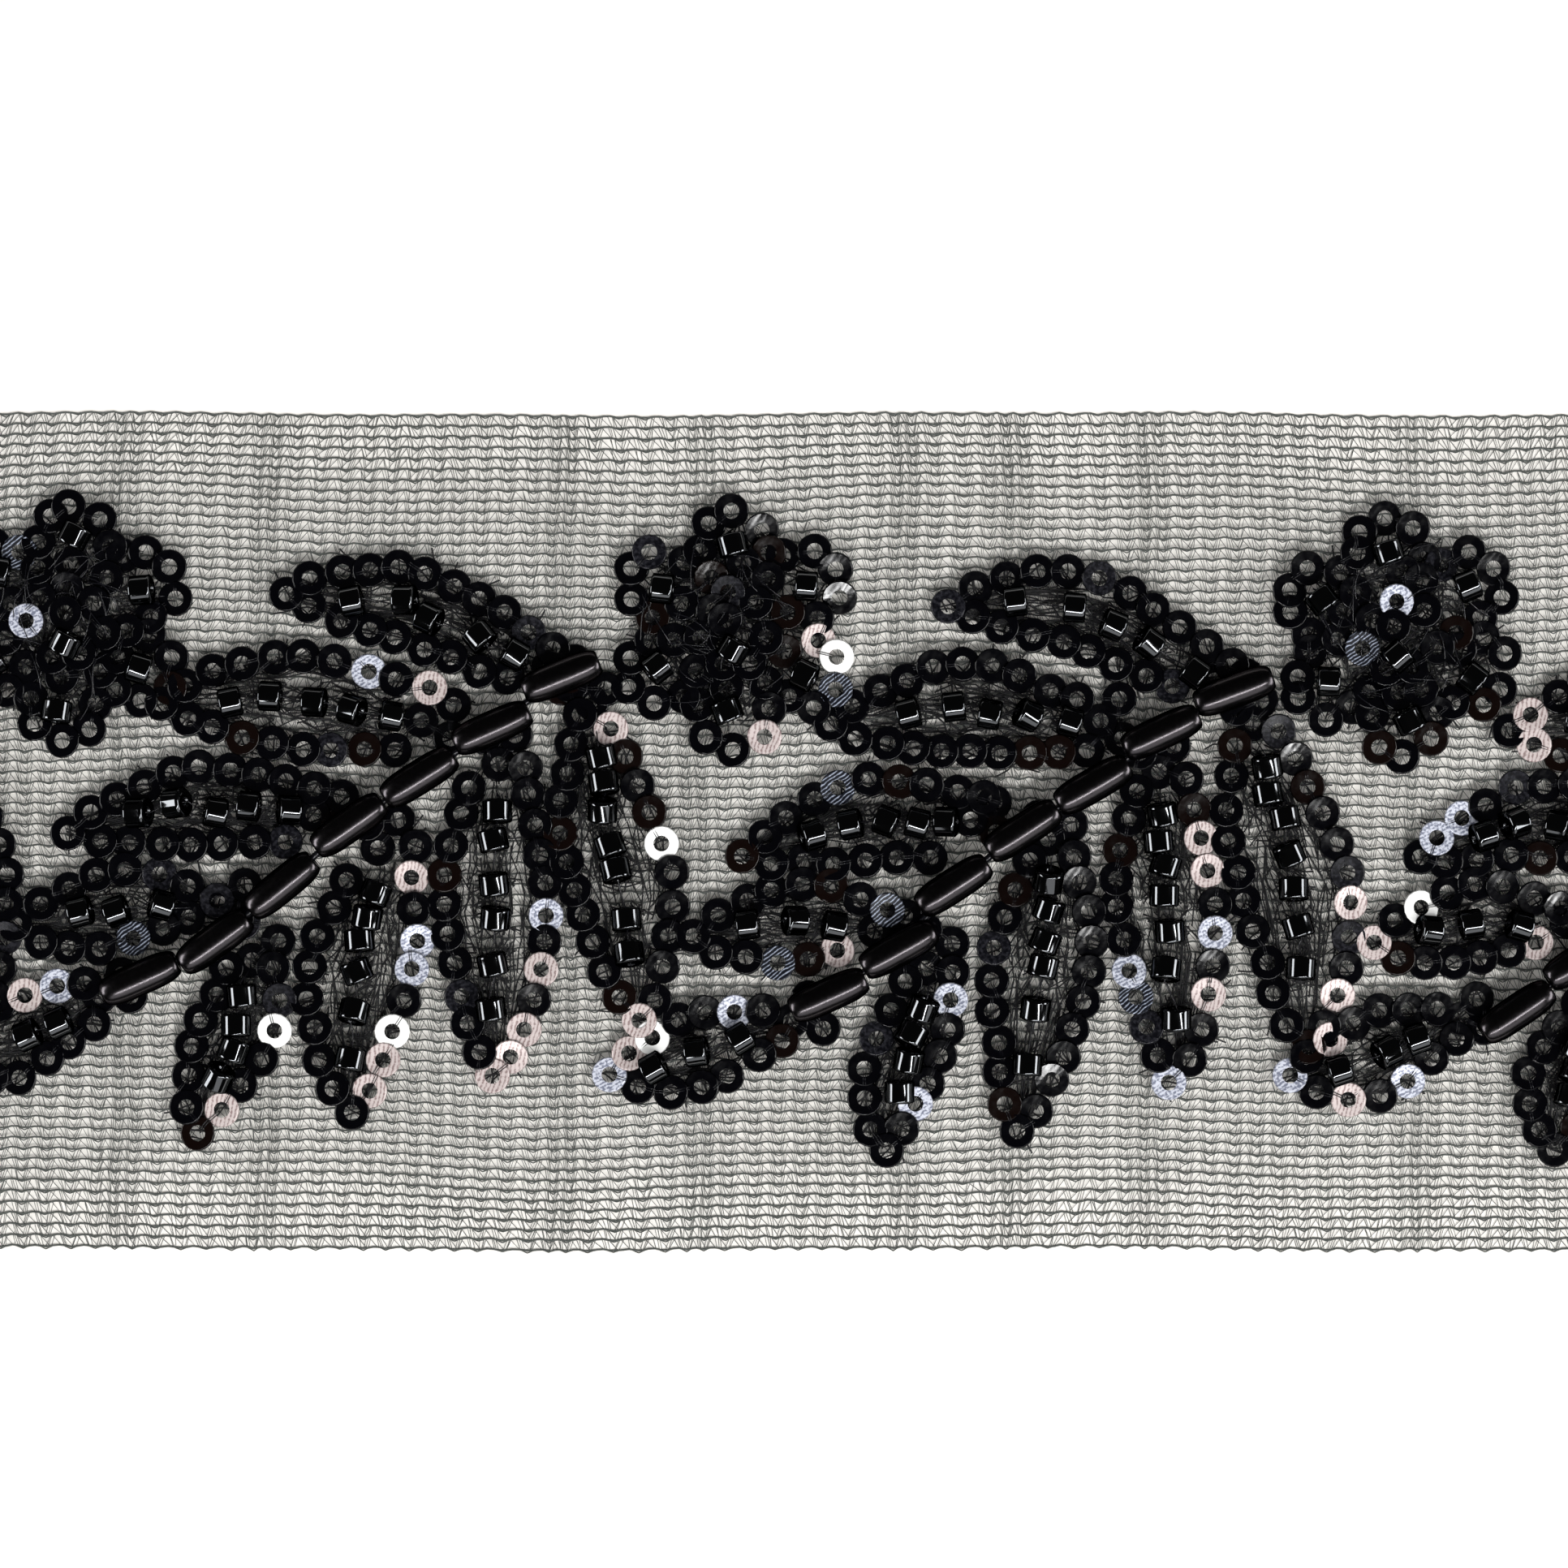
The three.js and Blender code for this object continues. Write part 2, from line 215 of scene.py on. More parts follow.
# The beads of a leaf's middle row: the shares of its length that they span, and how evenly they lie
UPPER_BEADS_SPAN = (0.06, 0.68)
LOWER_BEADS_SPAN = (0.11, 0.74)
SHORT_ROW_SPAN = (0.2, 0.66)
SHORT_ROW = 4
LEAST_BEAD_STEP = 2.25
BEAD_SLACK = 0.45
BEAD_NUDGE = 0.22
BEAD_SWING = 0.17
BEAD_TIP = 0.2
DIRECTION_REACH = 0.02

# Flowers: six petals of five sequins, two rings of sequins inside them, and one at the middle
PETALS = 6
PETAL_TURN = 360 / PETALS
PETAL_REACH = 7.6
PETAL_RADIUS = 3.05
PETAL_SEQUIN_ANGLES = (-100, -52, 0, 52, 100)
PETAL_ANGLE_SPREAD = 3
PETAL_NUDGE = 0.18
PETAL_LEAN = 6
PETAL_LEAN_SPREAD = 4
PETAL_RISE = (-0.1, 0.2)
# Sequins, reach, first angle and rise of each inner ring
INNER_RINGS = ((10, 5.4, 30, 0.3), (7, 3.3, 0, 0.55))
INNER_ANGLE_SPREAD = 6
INNER_NUDGE = 0.3
INNER_LEAN = 4
INNER_LEAN_SPREAD = 5
INNER_RISE = (-0.1, 0.1)
EYE_SEQUIN_NUDGE = 0.6
EYE_SEQUIN_SHIFT = 0.8
EYE_SEQUIN_RISE = 0.95
EYE_LEAN_SPREAD = 8
# The beads of a flower, one on each petal and a slanting one near the middle
PETAL_BEAD_NUDGE = 0.25
PETAL_BEAD_SWING = 0.5
PETAL_BEAD_TIP = 0.1
EYE_BEAD_SWING = (0.6, 1.1)
EYE_BEAD_SHIFT = 1.9
EYE_BEAD_RISE = 0.35
EYE_BEAD_TIP = 0.15

# The photograph's scale, and where its frame lies on the trim
PIXELS_PER_MM = 13.67
ORIGIN_PIXEL = (1105.0, 1024.5)
PHOTO_SIDE = 1932

# x, y, rise of each oval bead's axis in degrees, one row for each spray
STEMS = (
    ((-67.8, -13.1, 24), (-61.1, -9.8, 36), (-55.1, -4.8, 39), (-49.1, 0.6, 35),
     (-42.8, 4.9, 32), (-36.3, 9.3, 24), (-30.1, 13.9, 22)),
    ((-6.2, -14.6, 24), (0.1, -10.5, 29), (5.0, -4.8, 33), (11.2, 0.1, 33),
     (17.5, 4.2, 30), (23.6, 8.9, 25), (30.1, 12.6, 20)),
    ((55.4, -16.1, 34), (61.3, -11.4, 32), (65.9, -5.4, 35), (72.1, -0.5, 33),
     (78.3, 3.6, 30), (84.2, 8.2, 26), (90.6, 11.9, 20)),
)

# name: first root, first belly, tip, second belly, second root, and the number of beads
LEAVES = {
    "lower_leaf_0_4": ((-88.2, 10.4), (-89.7, -1.1), (-83.0, -16.9), (-79.9, -4.8), (-85.3, 9.2), 6),
    "upper_leaf_1_1": ((-30.9, 16.6), (-43.2, 23.5), (-54.9, 21.4), (-44.8, 17.3), (-35.0, 13.6), 5),
    "upper_leaf_1_2": ((-42.3, 12.9), (-54.9, 15.8), (-66.2, 11.4), (-55.6, 7.8), (-45.1, 7.2), 5),
    "upper_leaf_1_3": ((-52.2, 3.9), (-63.3, 5.7), (-74.3, 0.0), (-64.0, -1.1), (-55.1, -0.8), 5),
    "upper_leaf_1_4": ((-61.1, -6.0), (-69.9, -3.3), (-79.0, -8.3), (-72.1, -10.5), (-63.6, -7.6), 3),
    "upper_leaf_1_5": ((-72.8, -13.7), (-80.3, -15.3), (-86.3, -21.5), (-78.6, -21.8), (-72.2, -17.3), 3),
    "lower_leaf_1_1": ((-60.0, -12.1), (-63.6, -20.2), (-62.7, -27.0), (-55.8, -18.0), (-56.2, -12.3), 4),
    "lower_leaf_1_2": ((-49.4, -4.4), (-52.9, -13.2), (-49.1, -25.3), (-43.7, -12.8), (-43.6, -1.2), 6),
    "lower_leaf_1_3": ((-38.5, 4.0), (-40.7, -7.0), (-36.1, -22.0), (-31.6, -9.2), (-33.6, 5.8), 6),
    "lower_leaf_1_4": ((-28.6, 10.4), (-30.1, -1.1), (-23.4, -16.9), (-20.3, -4.8), (-25.7, 9.2), 7),
    "upper_leaf_2_1": ((30.1, 15.1), (16.5, 23.3), (4.7, 20.3), (15.7, 16.6), (24.8, 13.0), 5),
    "upper_leaf_2_2": ((16.1, 11.9), (5.5, 15.1), (-5.9, 9.5), (5.5, 7.1), (17.0, 7.4), 5),
    "upper_leaf_2_3": ((8.0, 3.3), (-3.3, 4.4), (-14.0, -2.2), (-4.0, -2.5), (2.8, -2.2), 5),
    "upper_leaf_2_4": ((-0.7, -7.1), (-8.8, -4.6), (-18.2, -9.2), (-11.7, -11.7), (-5.3, -10.6), 3),
    "upper_leaf_2_5": ((-11.9, -16.1), (-19.0, -16.6), (-25.8, -22.0), (-17.8, -23.1), (-10.3, -18.7), 3),
    "lower_leaf_2_1": ((0.7, -13.6), (-2.9, -21.6), (-1.2, -28.8), (4.2, -19.1), (5.1, -12.7), 4),
    "lower_leaf_2_2": ((11.8, -2.7), (8.6, -12.1), (11.0, -26.9), (17.3, -12.8), (15.9, -2.0), 6),
    "lower_leaf_2_3": ((21.3, 3.8), (19.7, -6.3), (24.7, -22.5), (28.6, -9.2), (26.0, 4.8), 7),
    "lower_leaf_2_4": ((30.1, 7.6), (30.0, -2.2), (36.7, -19.4), (40.7, -5.5), (34.4, 9.0), 7),
    "upper_leaf_3_1": ((90.5, 14.4), (77.0, 22.6), (65.2, 19.6), (76.3, 15.9), (85.4, 12.3), 5),
    "upper_leaf_3_2": ((76.8, 11.2), (66.2, 14.4), (54.9, 9.0), (66.2, 6.3), (77.8, 6.7), 5),
    "upper_leaf_3_3": ((68.7, 2.5), (56.7, 4.1), (46.7, -2.4), (56.0, -2.3), (63.5, -2.7), 5),
    "upper_leaf_3_4": ((59.5, -6.8), (51.9, -4.8), (42.8, -9.9), (49.7, -12.0), (57.4, -9.9), 3),
    "upper_leaf_3_5": ((48.5, -16.0), (42.4, -16.6), (35.3, -22.0), (42.8, -24.0), (50.3, -18.7), 3),
    "lower_leaf_3_1": ((61.1, -15.4), (56.8, -22.0), (59.0, -28.6), (64.8, -19.9), (65.7, -13.6), 4),
    "lower_leaf_3_2": ((72.3, -3.5), (69.1, -13.0), (71.5, -27.8), (77.8, -13.7), (76.5, -2.9), 6),
    "lower_leaf_3_3": ((81.7, 3.0), (80.1, -7.0), (85.1, -23.2), (89.0, -9.9), (86.5, 4.1), 7),
}

# name: x, y and the turn of its first petal in degrees
FLOWERS = {
    "flower_1": (-74.5, 18.8, 87),
    "flower_2": (-14.7, 18.2, 90),
    "flower_3": (44.8, 17.6, 95),
}

# Sequins of a brighter finish, each by the photograph's pixel that it is nearest to: brown film, and pale
# films that are painted light, colours that stand for glints and reflections on black film
CHARTED_TONES_AND_PAINTED_LIGHT = {
    "glint_white": (
        (1040, 817), (814, 1025), (801, 1275), (338, 1286), (1745, 1105), (496, 1254),
    ),
    "glint_rose": (
        (1019, 791), (946, 906), (762, 1296), (775, 1261), (664, 1186), (650, 1270),
        (632, 1288), (611, 1326), (509, 1071), (484, 1318), (464, 1346), (527, 848),
        (754, 899), (1466, 1023), (1479, 1057), (1493, 1229), (1664, 1129), (1689, 1162),
        (1630, 1234), (1639, 1280), (1671, 1364), (1032, 1170), (1878, 867), (1891, 906),
        (1893, 1157), (43, 1225), (287, 1370),
    ),
    "glint_blue": (
        (441, 826), (669, 1118), (509, 1143), (504, 1179), (897, 1238), (1170, 1238),
        (1146, 1365), (752, 1327), (1495, 1162), (1442, 1334), (1586, 1330), (1725, 1334),
        (1715, 748), (1769, 1027), (1797, 1012), (35, 749), (77, 1207), (1398, 1189),
    ),
    "hatch": (
        (1029, 970), (961, 1182), (1096, 1121), (1407, 1230), (1047, 838), (1678, 815),
        (35, 678), (168, 1155),
    ),
    "reflection_grey": (
        (352, 1036), (270, 1107), (570, 1223), (1575, 902), (1664, 1092), (1657, 1166),
        (1774, 706), (1856, 975), (1074, 1271), (898, 740), (342, 1218), (1440, 850), (817, 650),
    ),
    "brown": (
        (945, 677), (1027, 1086), (915, 1054), (1248, 1102), (1104, 957), (552, 1071),
        (696, 1023), (1373, 1047), (1895, 1062), (980, 800), (985, 750),
    ),
}
DARK_FINISHES = ("black", "brown")
# Pale finishes that are painted light: glints and reflections painted into the sequins' colour
PAINTED_LIGHT_FINISHES = ("reflection_grey", "glint_white", "glint_rose", "glint_blue", "hatch")
BROWN_SHARE = 0.06
# The share given at random the grey film, whose light patches are painted reflection
GREY_REFLECTION_SHARE = 0.018

# The lustre's tint at grazing angles
EDGE_TINT = (0.1, 0.1, 0.1)

# The pale surface, and the camera's lens and sensor
FLOOR_SIDE = 4.0
FLOOR_COLOUR = (0.80, 0.774, 0.731)
CAMERA_LENS = 100
CAMERA_SENSOR = 36

# The lights: name, place, size, power, and whether gloss mirrors it
LIGHTS = (
    ("key", (0.18, -0.345, 0.63), (0.9, 0.045), 4.9, True),
    ("front", (0.15, -0.56, 0.40), (1.0, 0.3), 1.4, True),
    ("left", (-0.62, -0.03, 0.22), (0.42, 0.2), 2.6, True),
    ("right", (0.62, -0.02, 0.22), (0.42, 0.2), 2.6, True),
    ("back", (0.0, 0.62, 0.42), (0.6, 0.25), 1.1, False),
    ("above", (0.02, -0.25, 0.6), (0.6, 0.6), 2.25, False),
)
WORLD_STRENGTH = 0.02


def pixel_place(px, py):
    """The place on the trim, in millimetres, that a pixel of the photograph shows."""
    return np.array(((px - ORIGIN_PIXEL[0]) / PIXELS_PER_MM, (ORIGIN_PIXEL[1] - py) / PIXELS_PER_MM))


class Shape:
    """The points, four-cornered faces and material slots of one piece, in millimetres."""

    def __init__(self):
        self.points = []
        self.faces = []
        self.slots = []
        self.count = 0

    def add(self, points, faces, slot=0):
        """Adds points, and faces that count from the first of them."""
        self.points.append(np.asarray(points, float))
        self.faces.append(np.asarray(faces, int) + self.count)
        self.slots.append(np.full(len(faces), slot))
        self.count += len(points)

    def piece(self, name, materials, record_slot, smooth=None, mapped_flat=False):
        """Makes the shape a named object of the trim; flat mapping looks straight down."""
        points = np.concatenate(self.points) * MM
        faces = np.concatenate(self.faces)
        mesh = bpy.data.meshes.new(name)
        mesh.vertices.add(len(points))
        mesh.vertices.foreach_set("co", points.ravel())
        mesh.loops.add(faces.size)
        mesh.loops.foreach_set("vertex_index", faces.ravel())
        mesh.polygons.add(len(faces))
        mesh.polygons.foreach_set("loop_start", np.arange(0, faces.size, 4))
        mesh.polygons.foreach_set("material_index", np.concatenate(self.slots))
        smooth = np.ones(len(faces), bool) if smooth is None else smooth
        mesh.polygons.foreach_set("use_smooth", smooth)
        mesh.update(calc_edges=True)
        if mapped_flat:
            flat = points[faces.ravel(), :2]
            flat = (flat - flat.min(axis=0)) / np.ptp(flat, axis=0).max()
            mesh.uv_layers.new(name="OFBake").uv.foreach_set("vector", flat.ravel())
        for material in materials:
            mesh.materials.append(material)
        made = bpy.data.objects.new(name, mesh)
        bpy.context.scene.collection.objects.link(made)
        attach(made, "root")
        return made


def lathe(profile, sides):
    """A closed profile of (radius, height) points turned round Z: points and faces."""
    around = np.arange(sides) * 2 * math.pi / sides
    radius = np.array([p[0] for p in profile])
    height = np.array([p[1] for p in profile])
    points = np.stack(
        (
            np.outer(np.cos(around), radius),
            np.outer(np.sin(around), radius),
            np.tile(height, (sides, 1)),
        ),
        axis=-1,
    ).reshape(-1, 3)
    n = len(profile)
    i, k = (a.ravel() for a in np.meshgrid(np.arange(n), np.arange(sides)))
    here = k * n
    beside = ((k + 1) % sides) * n
    up = (i + 1) % n
    faces = np.stack((here + i, here + up, beside + up, beside + i), axis=-1)
    return points, faces


def placed(points, centre, axis_z, spin=0.0):
    """Points turned so that their Z runs along axis_z, and moved to centre."""
    turn = Vector(axis_z).to_track_quat("Z", "Y").to_matrix() @ Matrix.Rotation(spin, 3, "Z")
    return points @ np.array(turn).T + np.asarray(centre)


def tube(points, radius, sides=4):
    """A thread along a line of points, an edge of it on top; four sides also close its ends."""
    line = np.asarray(points, float)
    along = np.gradient(line, axis=0)
    along /= np.linalg.norm(along, axis=1)[:, None] + 1e-12
    side = np.cross(along, (0.0, 0.0, 1.0))
    flat = np.linalg.norm(side, axis=1) < 1e-3
    side[flat] = (1.0, 0.0, 0.0)
    side /= np.linalg.norm(side, axis=1)[:, None]
    over = np.cross(side, along)
    around = math.pi / 2 + np.arange(sides) * 2 * math.pi / sides
    rings = (
        line[:, None, :]
        + radius * np.cos(around)[None, :, None] * side[:, None, :]
        + radius * np.sin(around)[None, :, None] * over[:, None, :]
    )
    n = len(line)
    i, k = (a.ravel() for a in np.meshgrid(np.arange(n - 1), np.arange(sides)))
    beside = (k + 1) % sides
    faces = np.stack(
        (i * sides + k, i * sides + beside, (i + 1) * sides + beside, (i + 1) * sides + k), axis=-1
    )
    if sides == 4:
        last = (n - 1) * 4
        faces = np.concatenate((faces, [[3, 2, 1, 0]], [[last, last + 1, last + 2, last + 3]]))
    return rings.reshape(-1, 3), faces


# Materials


def node_material(name, colour, roughness, metallic=0.0):
    """A new material and its shader, with the settings that are the same all over."""
    made = bpy.data.materials.new(name)
    made.use_nodes = True
    shader = made.node_tree.nodes["Principled BSDF"]
    shader.inputs["Base Color"].default_value = (*colour, 1)
    shader.inputs["Roughness"].default_value = roughness
    shader.inputs["Metallic"].default_value = metallic
    return made, shader


def noise(tree, scale, detail=3.0):
    """Noise in the piece's own coordinates, whose grain is 1 mm across at scale 1."""
    place = tree.nodes.new("ShaderNodeTexCoord")
    grain = tree.nodes.new("ShaderNodeTexNoise")
    grain.inputs["Scale"].default_value = scale / MM
    grain.inputs["Detail"].default_value = detail
    tree.links.new(place.outputs["Object"], grain.inputs["Vector"])
    return grain.outputs["Fac"]


def mapped(tree, value, low, high):
    """A noise value's middle range, spread from low to high."""
    made = tree.nodes.new("ShaderNodeMapRange")
    made.inputs["From Min"].default_value = 0.3
    made.inputs["From Max"].default_value = 0.7
    made.inputs["To Min"].default_value = low
    made.inputs["To Max"].default_value = high
    tree.links.new(value, made.inputs["Value"])
    return made.outputs["Result"]


def bump(tree, height, strength, distance):
    """Relief whose depth is given in millimetres."""
    made = tree.nodes.new("ShaderNodeBump")
    made.inputs["Strength"].default_value = strength
    made.inputs["Distance"].default_value = distance * MM
    tree.links.new(height, made.inputs["Height"])
    return made.outputs["Normal"]


def hatch(tree, fineness, turn, waviness):
    """Fine parallel lines in the piece's own coordinates, turned by an angle in degrees."""
    place = tree.nodes.new("ShaderNodeTexCoord")
    turned = tree.nodes.new("ShaderNodeMapping")
    turned.inputs["Rotation"].default_value = (0, 0, math.radians(turn))
    lines = tree.nodes.new("ShaderNodeTexWave")
    lines.inputs["Scale"].default_value = fineness / MM
    lines.inputs["Distortion"].default_value = waviness
    lines.inputs["Detail Scale"].default_value = 0.6
    tree.links.new(place.outputs["Object"], turned.inputs["Vector"])
    tree.links.new(turned.outputs["Vector"], lines.inputs["Vector"])
    return lines.outputs["Fac"]


def two_tones(tree, value, dark, low, light, high):
    """A colour that runs from dark, where a value is low, to light, where it is high."""
    ramp = tree.nodes.new("ShaderNodeValToRGB")
    ramp.color_ramp.elements[0].position = low
    ramp.color_ramp.elements[0].color = (*dark, 1)
    ramp.color_ramp.elements[1].position = high
    ramp.color_ramp.elements[1].color = (*light, 1)
    tree.links.new(value, ramp.inputs["Fac"])
    return ramp.outputs["Color"]


def film_material(name, colour, roughness):
    """Glossy sequin film with a faint hatch pressed into it."""
    made, shader = node_material(name, colour, roughness)
    shader.inputs["Specular IOR Level"].default_value = 0.4
    tree = made.node_tree
    rough = mapped(tree, noise(tree, 1.1), roughness * 0.6, roughness * 1.5)
    tree.links.new(rough, shader.inputs["Roughness"])
    lines = hatch(tree, fineness=0.55, turn=35, waviness=2.0)
    tree.links.new(bump(tree, lines, 0.12, 0.02), shader.inputs["Normal"])
    return made


def striped_glint_material(name, light, dark, fineness, turn, waviness, broken, low, high):
    """Painted glint: bright film colour that stands for light the film catches, its pressed hatch showing
    as light and dark stripes, broken up by a share of specks.
    """
    made, shader = node_material(name, light, 0.32, 0.25)
    tree = made.node_tree
    blend = tree.nodes.new("ShaderNodeMix")
    blend.inputs["Factor"].default_value = broken
    tree.links.new(hatch(tree, fineness, turn, waviness), blend.inputs["A"])
    tree.links.new(noise(tree, 4.2), blend.inputs["B"])
    colour = two_tones(tree, blend.outputs["Result"], dark, low, light, high)
    tree.links.new(colour, shader.inputs["Base Color"])
    return made


def mottled_reflection_material(name, dark, light):
    """Painted reflection: film whose colour has patches of light painted into it."""
    made, shader = node_material(name, dark, 0.2, 0.2)
    tree = made.node_tree
    colour = two_tones(tree, noise(tree, 3.2, 4.0), dark, 0.42, light, 0.66)
    tree.links.new(colour, shader.inputs["Base Color"])
    return made


def bead_material(name, colour, low, high, grain, depth):
    """A black lustre that mirrors a little, least at its edges, with duller worn specks."""
    made, shader = node_material(name, colour, low, 1.0)
    shader.inputs["Specular Tint"].default_value = (*EDGE_TINT, 1)
    tree = made.node_tree
    specks = noise(tree, grain, 4.0)
    tree.links.new(mapped(tree, specks, low, high), shader.inputs["Roughness"])
    tree.links.new(bump(tree, specks, depth, 0.03), shader.inputs["Normal"])
    return made


def thread_material(name, colour, low, high, sheen):
    """A spun thread, whose roughness varies between low and high."""
    made, shader = node_material(name, colour, high)
    tree = made.node_tree
    tree.links.new(mapped(tree, noise(tree, 2.5), low, high), shader.inputs["Roughness"])
    shader.inputs["Sheen Weight"].default_value = sheen
    return made


FILM = {
    "black": film_material("sequin film black", (0.0006, 0.0006, 0.0012), 0.13),
    "brown": film_material("sequin film brown", (0.0032, 0.0014, 0.0011), 0.14),
    # Grey film with painted reflection: light patches in its colour stand for the light it mirrors
    "reflection_grey": mottled_reflection_material("sequin film grey", (0.0025, 0.0025, 0.004), (0.019, 0.019, 0.024)),
    # Pale films that are painted glints: their colours stand for light caught by black film, and the
    # stripes follow its pressed hatch
    "glint_white": film_material("sequin film white", (0.88, 0.88, 0.86), 0.35),
    "glint_rose": striped_glint_material(
        "sequin film rose", light=(0.57, 0.495, 0.48), dark=(0.26, 0.19, 0.185),
        fineness=0.85, turn=12, waviness=7.0, broken=0.72, low=0.34, high=0.52,
    ),
    "glint_blue": striped_glint_material(
        "sequin film blue", light=(0.60, 0.62, 0.70), dark=(0.17, 0.185, 0.25),
        fineness=1.0, turn=62, waviness=5.0, broken=0.88, low=0.42, high=0.56,
    ),
    "hatch": striped_glint_material(
        "sequin film painted glint hatched", light=(0.42, 0.47, 0.58), dark=(0.004, 0.005, 0.010),
        fineness=1.0, turn=52, waviness=6.5, broken=0.5, low=0.56, high=0.86,
    ),
}
GLASS = bead_material(
    "bead lustre black", (0.075, 0.078, 0.082), low=0.05, high=0.1, grain=0.9, depth=0.04
)
SATIN = bead_material(
    "oval bead satin", (0.050, 0.046, 0.049), low=0.19, high=0.26, grain=3.0, depth=0.02
)
YARN = thread_material("net yarn", (0.058, 0.065, 0.059), low=0.55, high=0.85, sheen=0.05)
FILAMENT = thread_material("net filament", (0.062, 0.066, 0.061), low=0.5, high=0.8, sheen=0.0)
BACKING = thread_material("backing thread", (0.004, 0.004, 0.005), low=0.5, high=0.8, sheen=0.0)
STITCH = thread_material("stitch thread", (0.006, 0.006, 0.008), low=0.15, high=0.3, sheen=0.0)


# The net


def eased(value):
    """Runs smoothly from 0 to 1 as value does."""
    held = np.clip(value, 0, 1)
    return held * held * (3 - 2 * held)


def net_height(x, y):
    """The net lies on the surface at its edges, and is lifted by the stitches under the work."""
    lift = 1 - eased((np.abs(y) - WORK_REACH) / NET_EASE)
    ripple = sum(height * np.sin(x * along + y * across) for height, along, across in RIPPLES)
    return NET_LOW + (NET_HIGH - NET_LOW) * lift + ripple * (EDGE_RIPPLE + (1 - EDGE_RIPPLE) * lift)


def column_place(s, row):
    """Where a column at s along the unworked net lies once some columns are drawn together."""
    x = np.array(s, float)
    for middle in PINCHED_COLUMNS:
        near = (s - middle) / PINCH_WIDTH
        x = x - PINCH_SHARE * PINCH_WIDTH * near * np.exp(-0.5 * near**2)
    drift = sum(width * np.sin(row * down + s * along) for width, down, along in COLUMN_DRIFTS)
    ends = eased((NET_LENGTH / 2 - np.abs(s)) / END_EASE)
    return x + drift * ends


def row_place(x, row):
    """How far across the trim a row lies at x, with its slow bends."""
    level = (row - (NET_ROWS - 1) / 2) * ROW_PITCH
    long_width, long_turn, start = LONG_BEND
    short_width, short_turn, shift = SHORT_BEND
    bend = long_width * np.sin(x * long_turn + start)
    bend = bend + short_width * np.sin(x * short_turn + level * shift)
    edges = eased((NET_WIDTH / 2 - np.abs(level)) / EDGE_EASE)
    return level + bend * (EDGE_BEND + (1 - EDGE_BEND) * edges)


def wave(s):
    """How far a row swings up and down over its loops."""
    return WAVE_HEIGHT * np.sin(2 * math.pi * s / LOOP_PITCH)


def row_line(rng, row):
    """The points along a yarn row."""
    first = -NET_LENGTH / 2 + rng.uniform(0.0, END_WANDER)
    last = NET_LENGTH / 2 - rng.uniform(0.0, END_WANDER)
    s = np.linspace(first, last, NET_LOOPS * STEPS_PER_LOOP + 1)
    x = column_place(s, row)
    y = row_place(x, row) + wave(s) + rng.normal(0, YARN_JITTER, len(s))
    z = net_height(x, y) + YARN_ARCH * np.cos(2 * math.pi * s / LOOP_PITCH)
    return np.stack((x, y, z), axis=-1)


def net_rows(rng):
    """All of the net's yarn rows."""
    shape = Shape()
    for row in range(NET_ROWS):
        shape.add(*tube(row_line(rng, row), YARN_RADIUS, 3))
    return shape


def net_eyelets(rng):
    """The second ply, which leaves the yarn row below each loop and joins it again."""
    shape = Shape()
    loop = np.arange(NET_LOOPS)
    for row in range(NET_ROWS):
        stations = []
        sag = EYELET_DROP * rng.uniform(*EYELET_SAG, len(loop))
        for run, drop in EYELET_BEND:
            s = -NET_LENGTH / 2 + (loop + EYELET_PHASE + EYELET_SHARE * run) * LOOP_PITCH
            s = s + rng.normal(0, EYELET_JITTER, len(loop))
            x = column_place(s, row)
            y = row_place(x, row) + wave(s) - sag * drop
            stations.append(np.stack((x, y, net_height(x, y) + PLY_LIFT), axis=-1))
        for start, end in zip(stations, stations[1:]):
            shape.add(*prisms(start, end, np.full(len(loop), PLY_RADIUS)))
    return shape


def net_filaments(first_share, last_share, rng):
    """The fine filaments that run between the rows over part of the trim's length."""
    loop = np.arange(int(NET_LOOPS * first_share), int(NET_LOOPS * last_share))
    end = NET_LENGTH / 2 - FILAMENT_MARGIN
    along, across = MIRRORED_TURNS
    shape = Shape()
    for row in range(NET_ROWS - 1):
        for upper, lower in FILAMENTS:
            lean = rng.normal(0, FILAMENT_JITTER, (2, len(loop)))
            s_top = -NET_LENGTH / 2 + (loop + upper + lean[0]) * LOOP_PITCH
            s_low = -NET_LENGTH / 2 + (loop + lower + lean[1]) * LOOP_PITCH
            if abs(upper - lower) > DIAGONAL_RUN:
                flip = np.sin(s_top * along + row * across) > MIRRORED_ABOVE
                s_top, s_low = np.where(flip, s_low, s_top), np.where(flip, s_top, s_low)
            ends = []
            for s, at in ((s_top, row + 1), (s_low, row)):
                s = np.clip(s, -end, end)
                x = column_place(s, at)
                y = row_place(x, at) + wave(s)
                ends.append(np.stack((x, y, net_height(x, y)), axis=-1))
            radius = FILAMENT_RADIUS * rng.uniform(*FILAMENT_RANGE, len(loop))
            shape.add(*prisms(ends[0], ends[1], radius))
    return shape


def prisms(start, end, radius):
    """Many straight three-sided filaments at once."""
    along = end - start
    along /= np.linalg.norm(along, axis=1)[:, None]
    side = np.cross(along, (0.0, 0.0, 1.0))
    side /= np.linalg.norm(side, axis=1)[:, None]
    over = np.cross(side, along)
    corners = []
    for middle in (start, end):
        for k in range(3):
            turn = math.radians(90 + 120 * k)
            corners.append(
                middle
                + radius[:, None] * (math.cos(turn) * side + math.sin(turn) * over)
            )
    points = np.stack(corners, axis=1).reshape(-1, 3)
    base = np.arange(len(start))[:, None] * 6
    pattern = np.array(((0, 1, 4, 3), (1, 2, 5, 4), (2, 0, 3, 5)))
    faces = (base[:, :, None] + pattern[None, :, :]).reshape(-1, 4)
    return points, faces


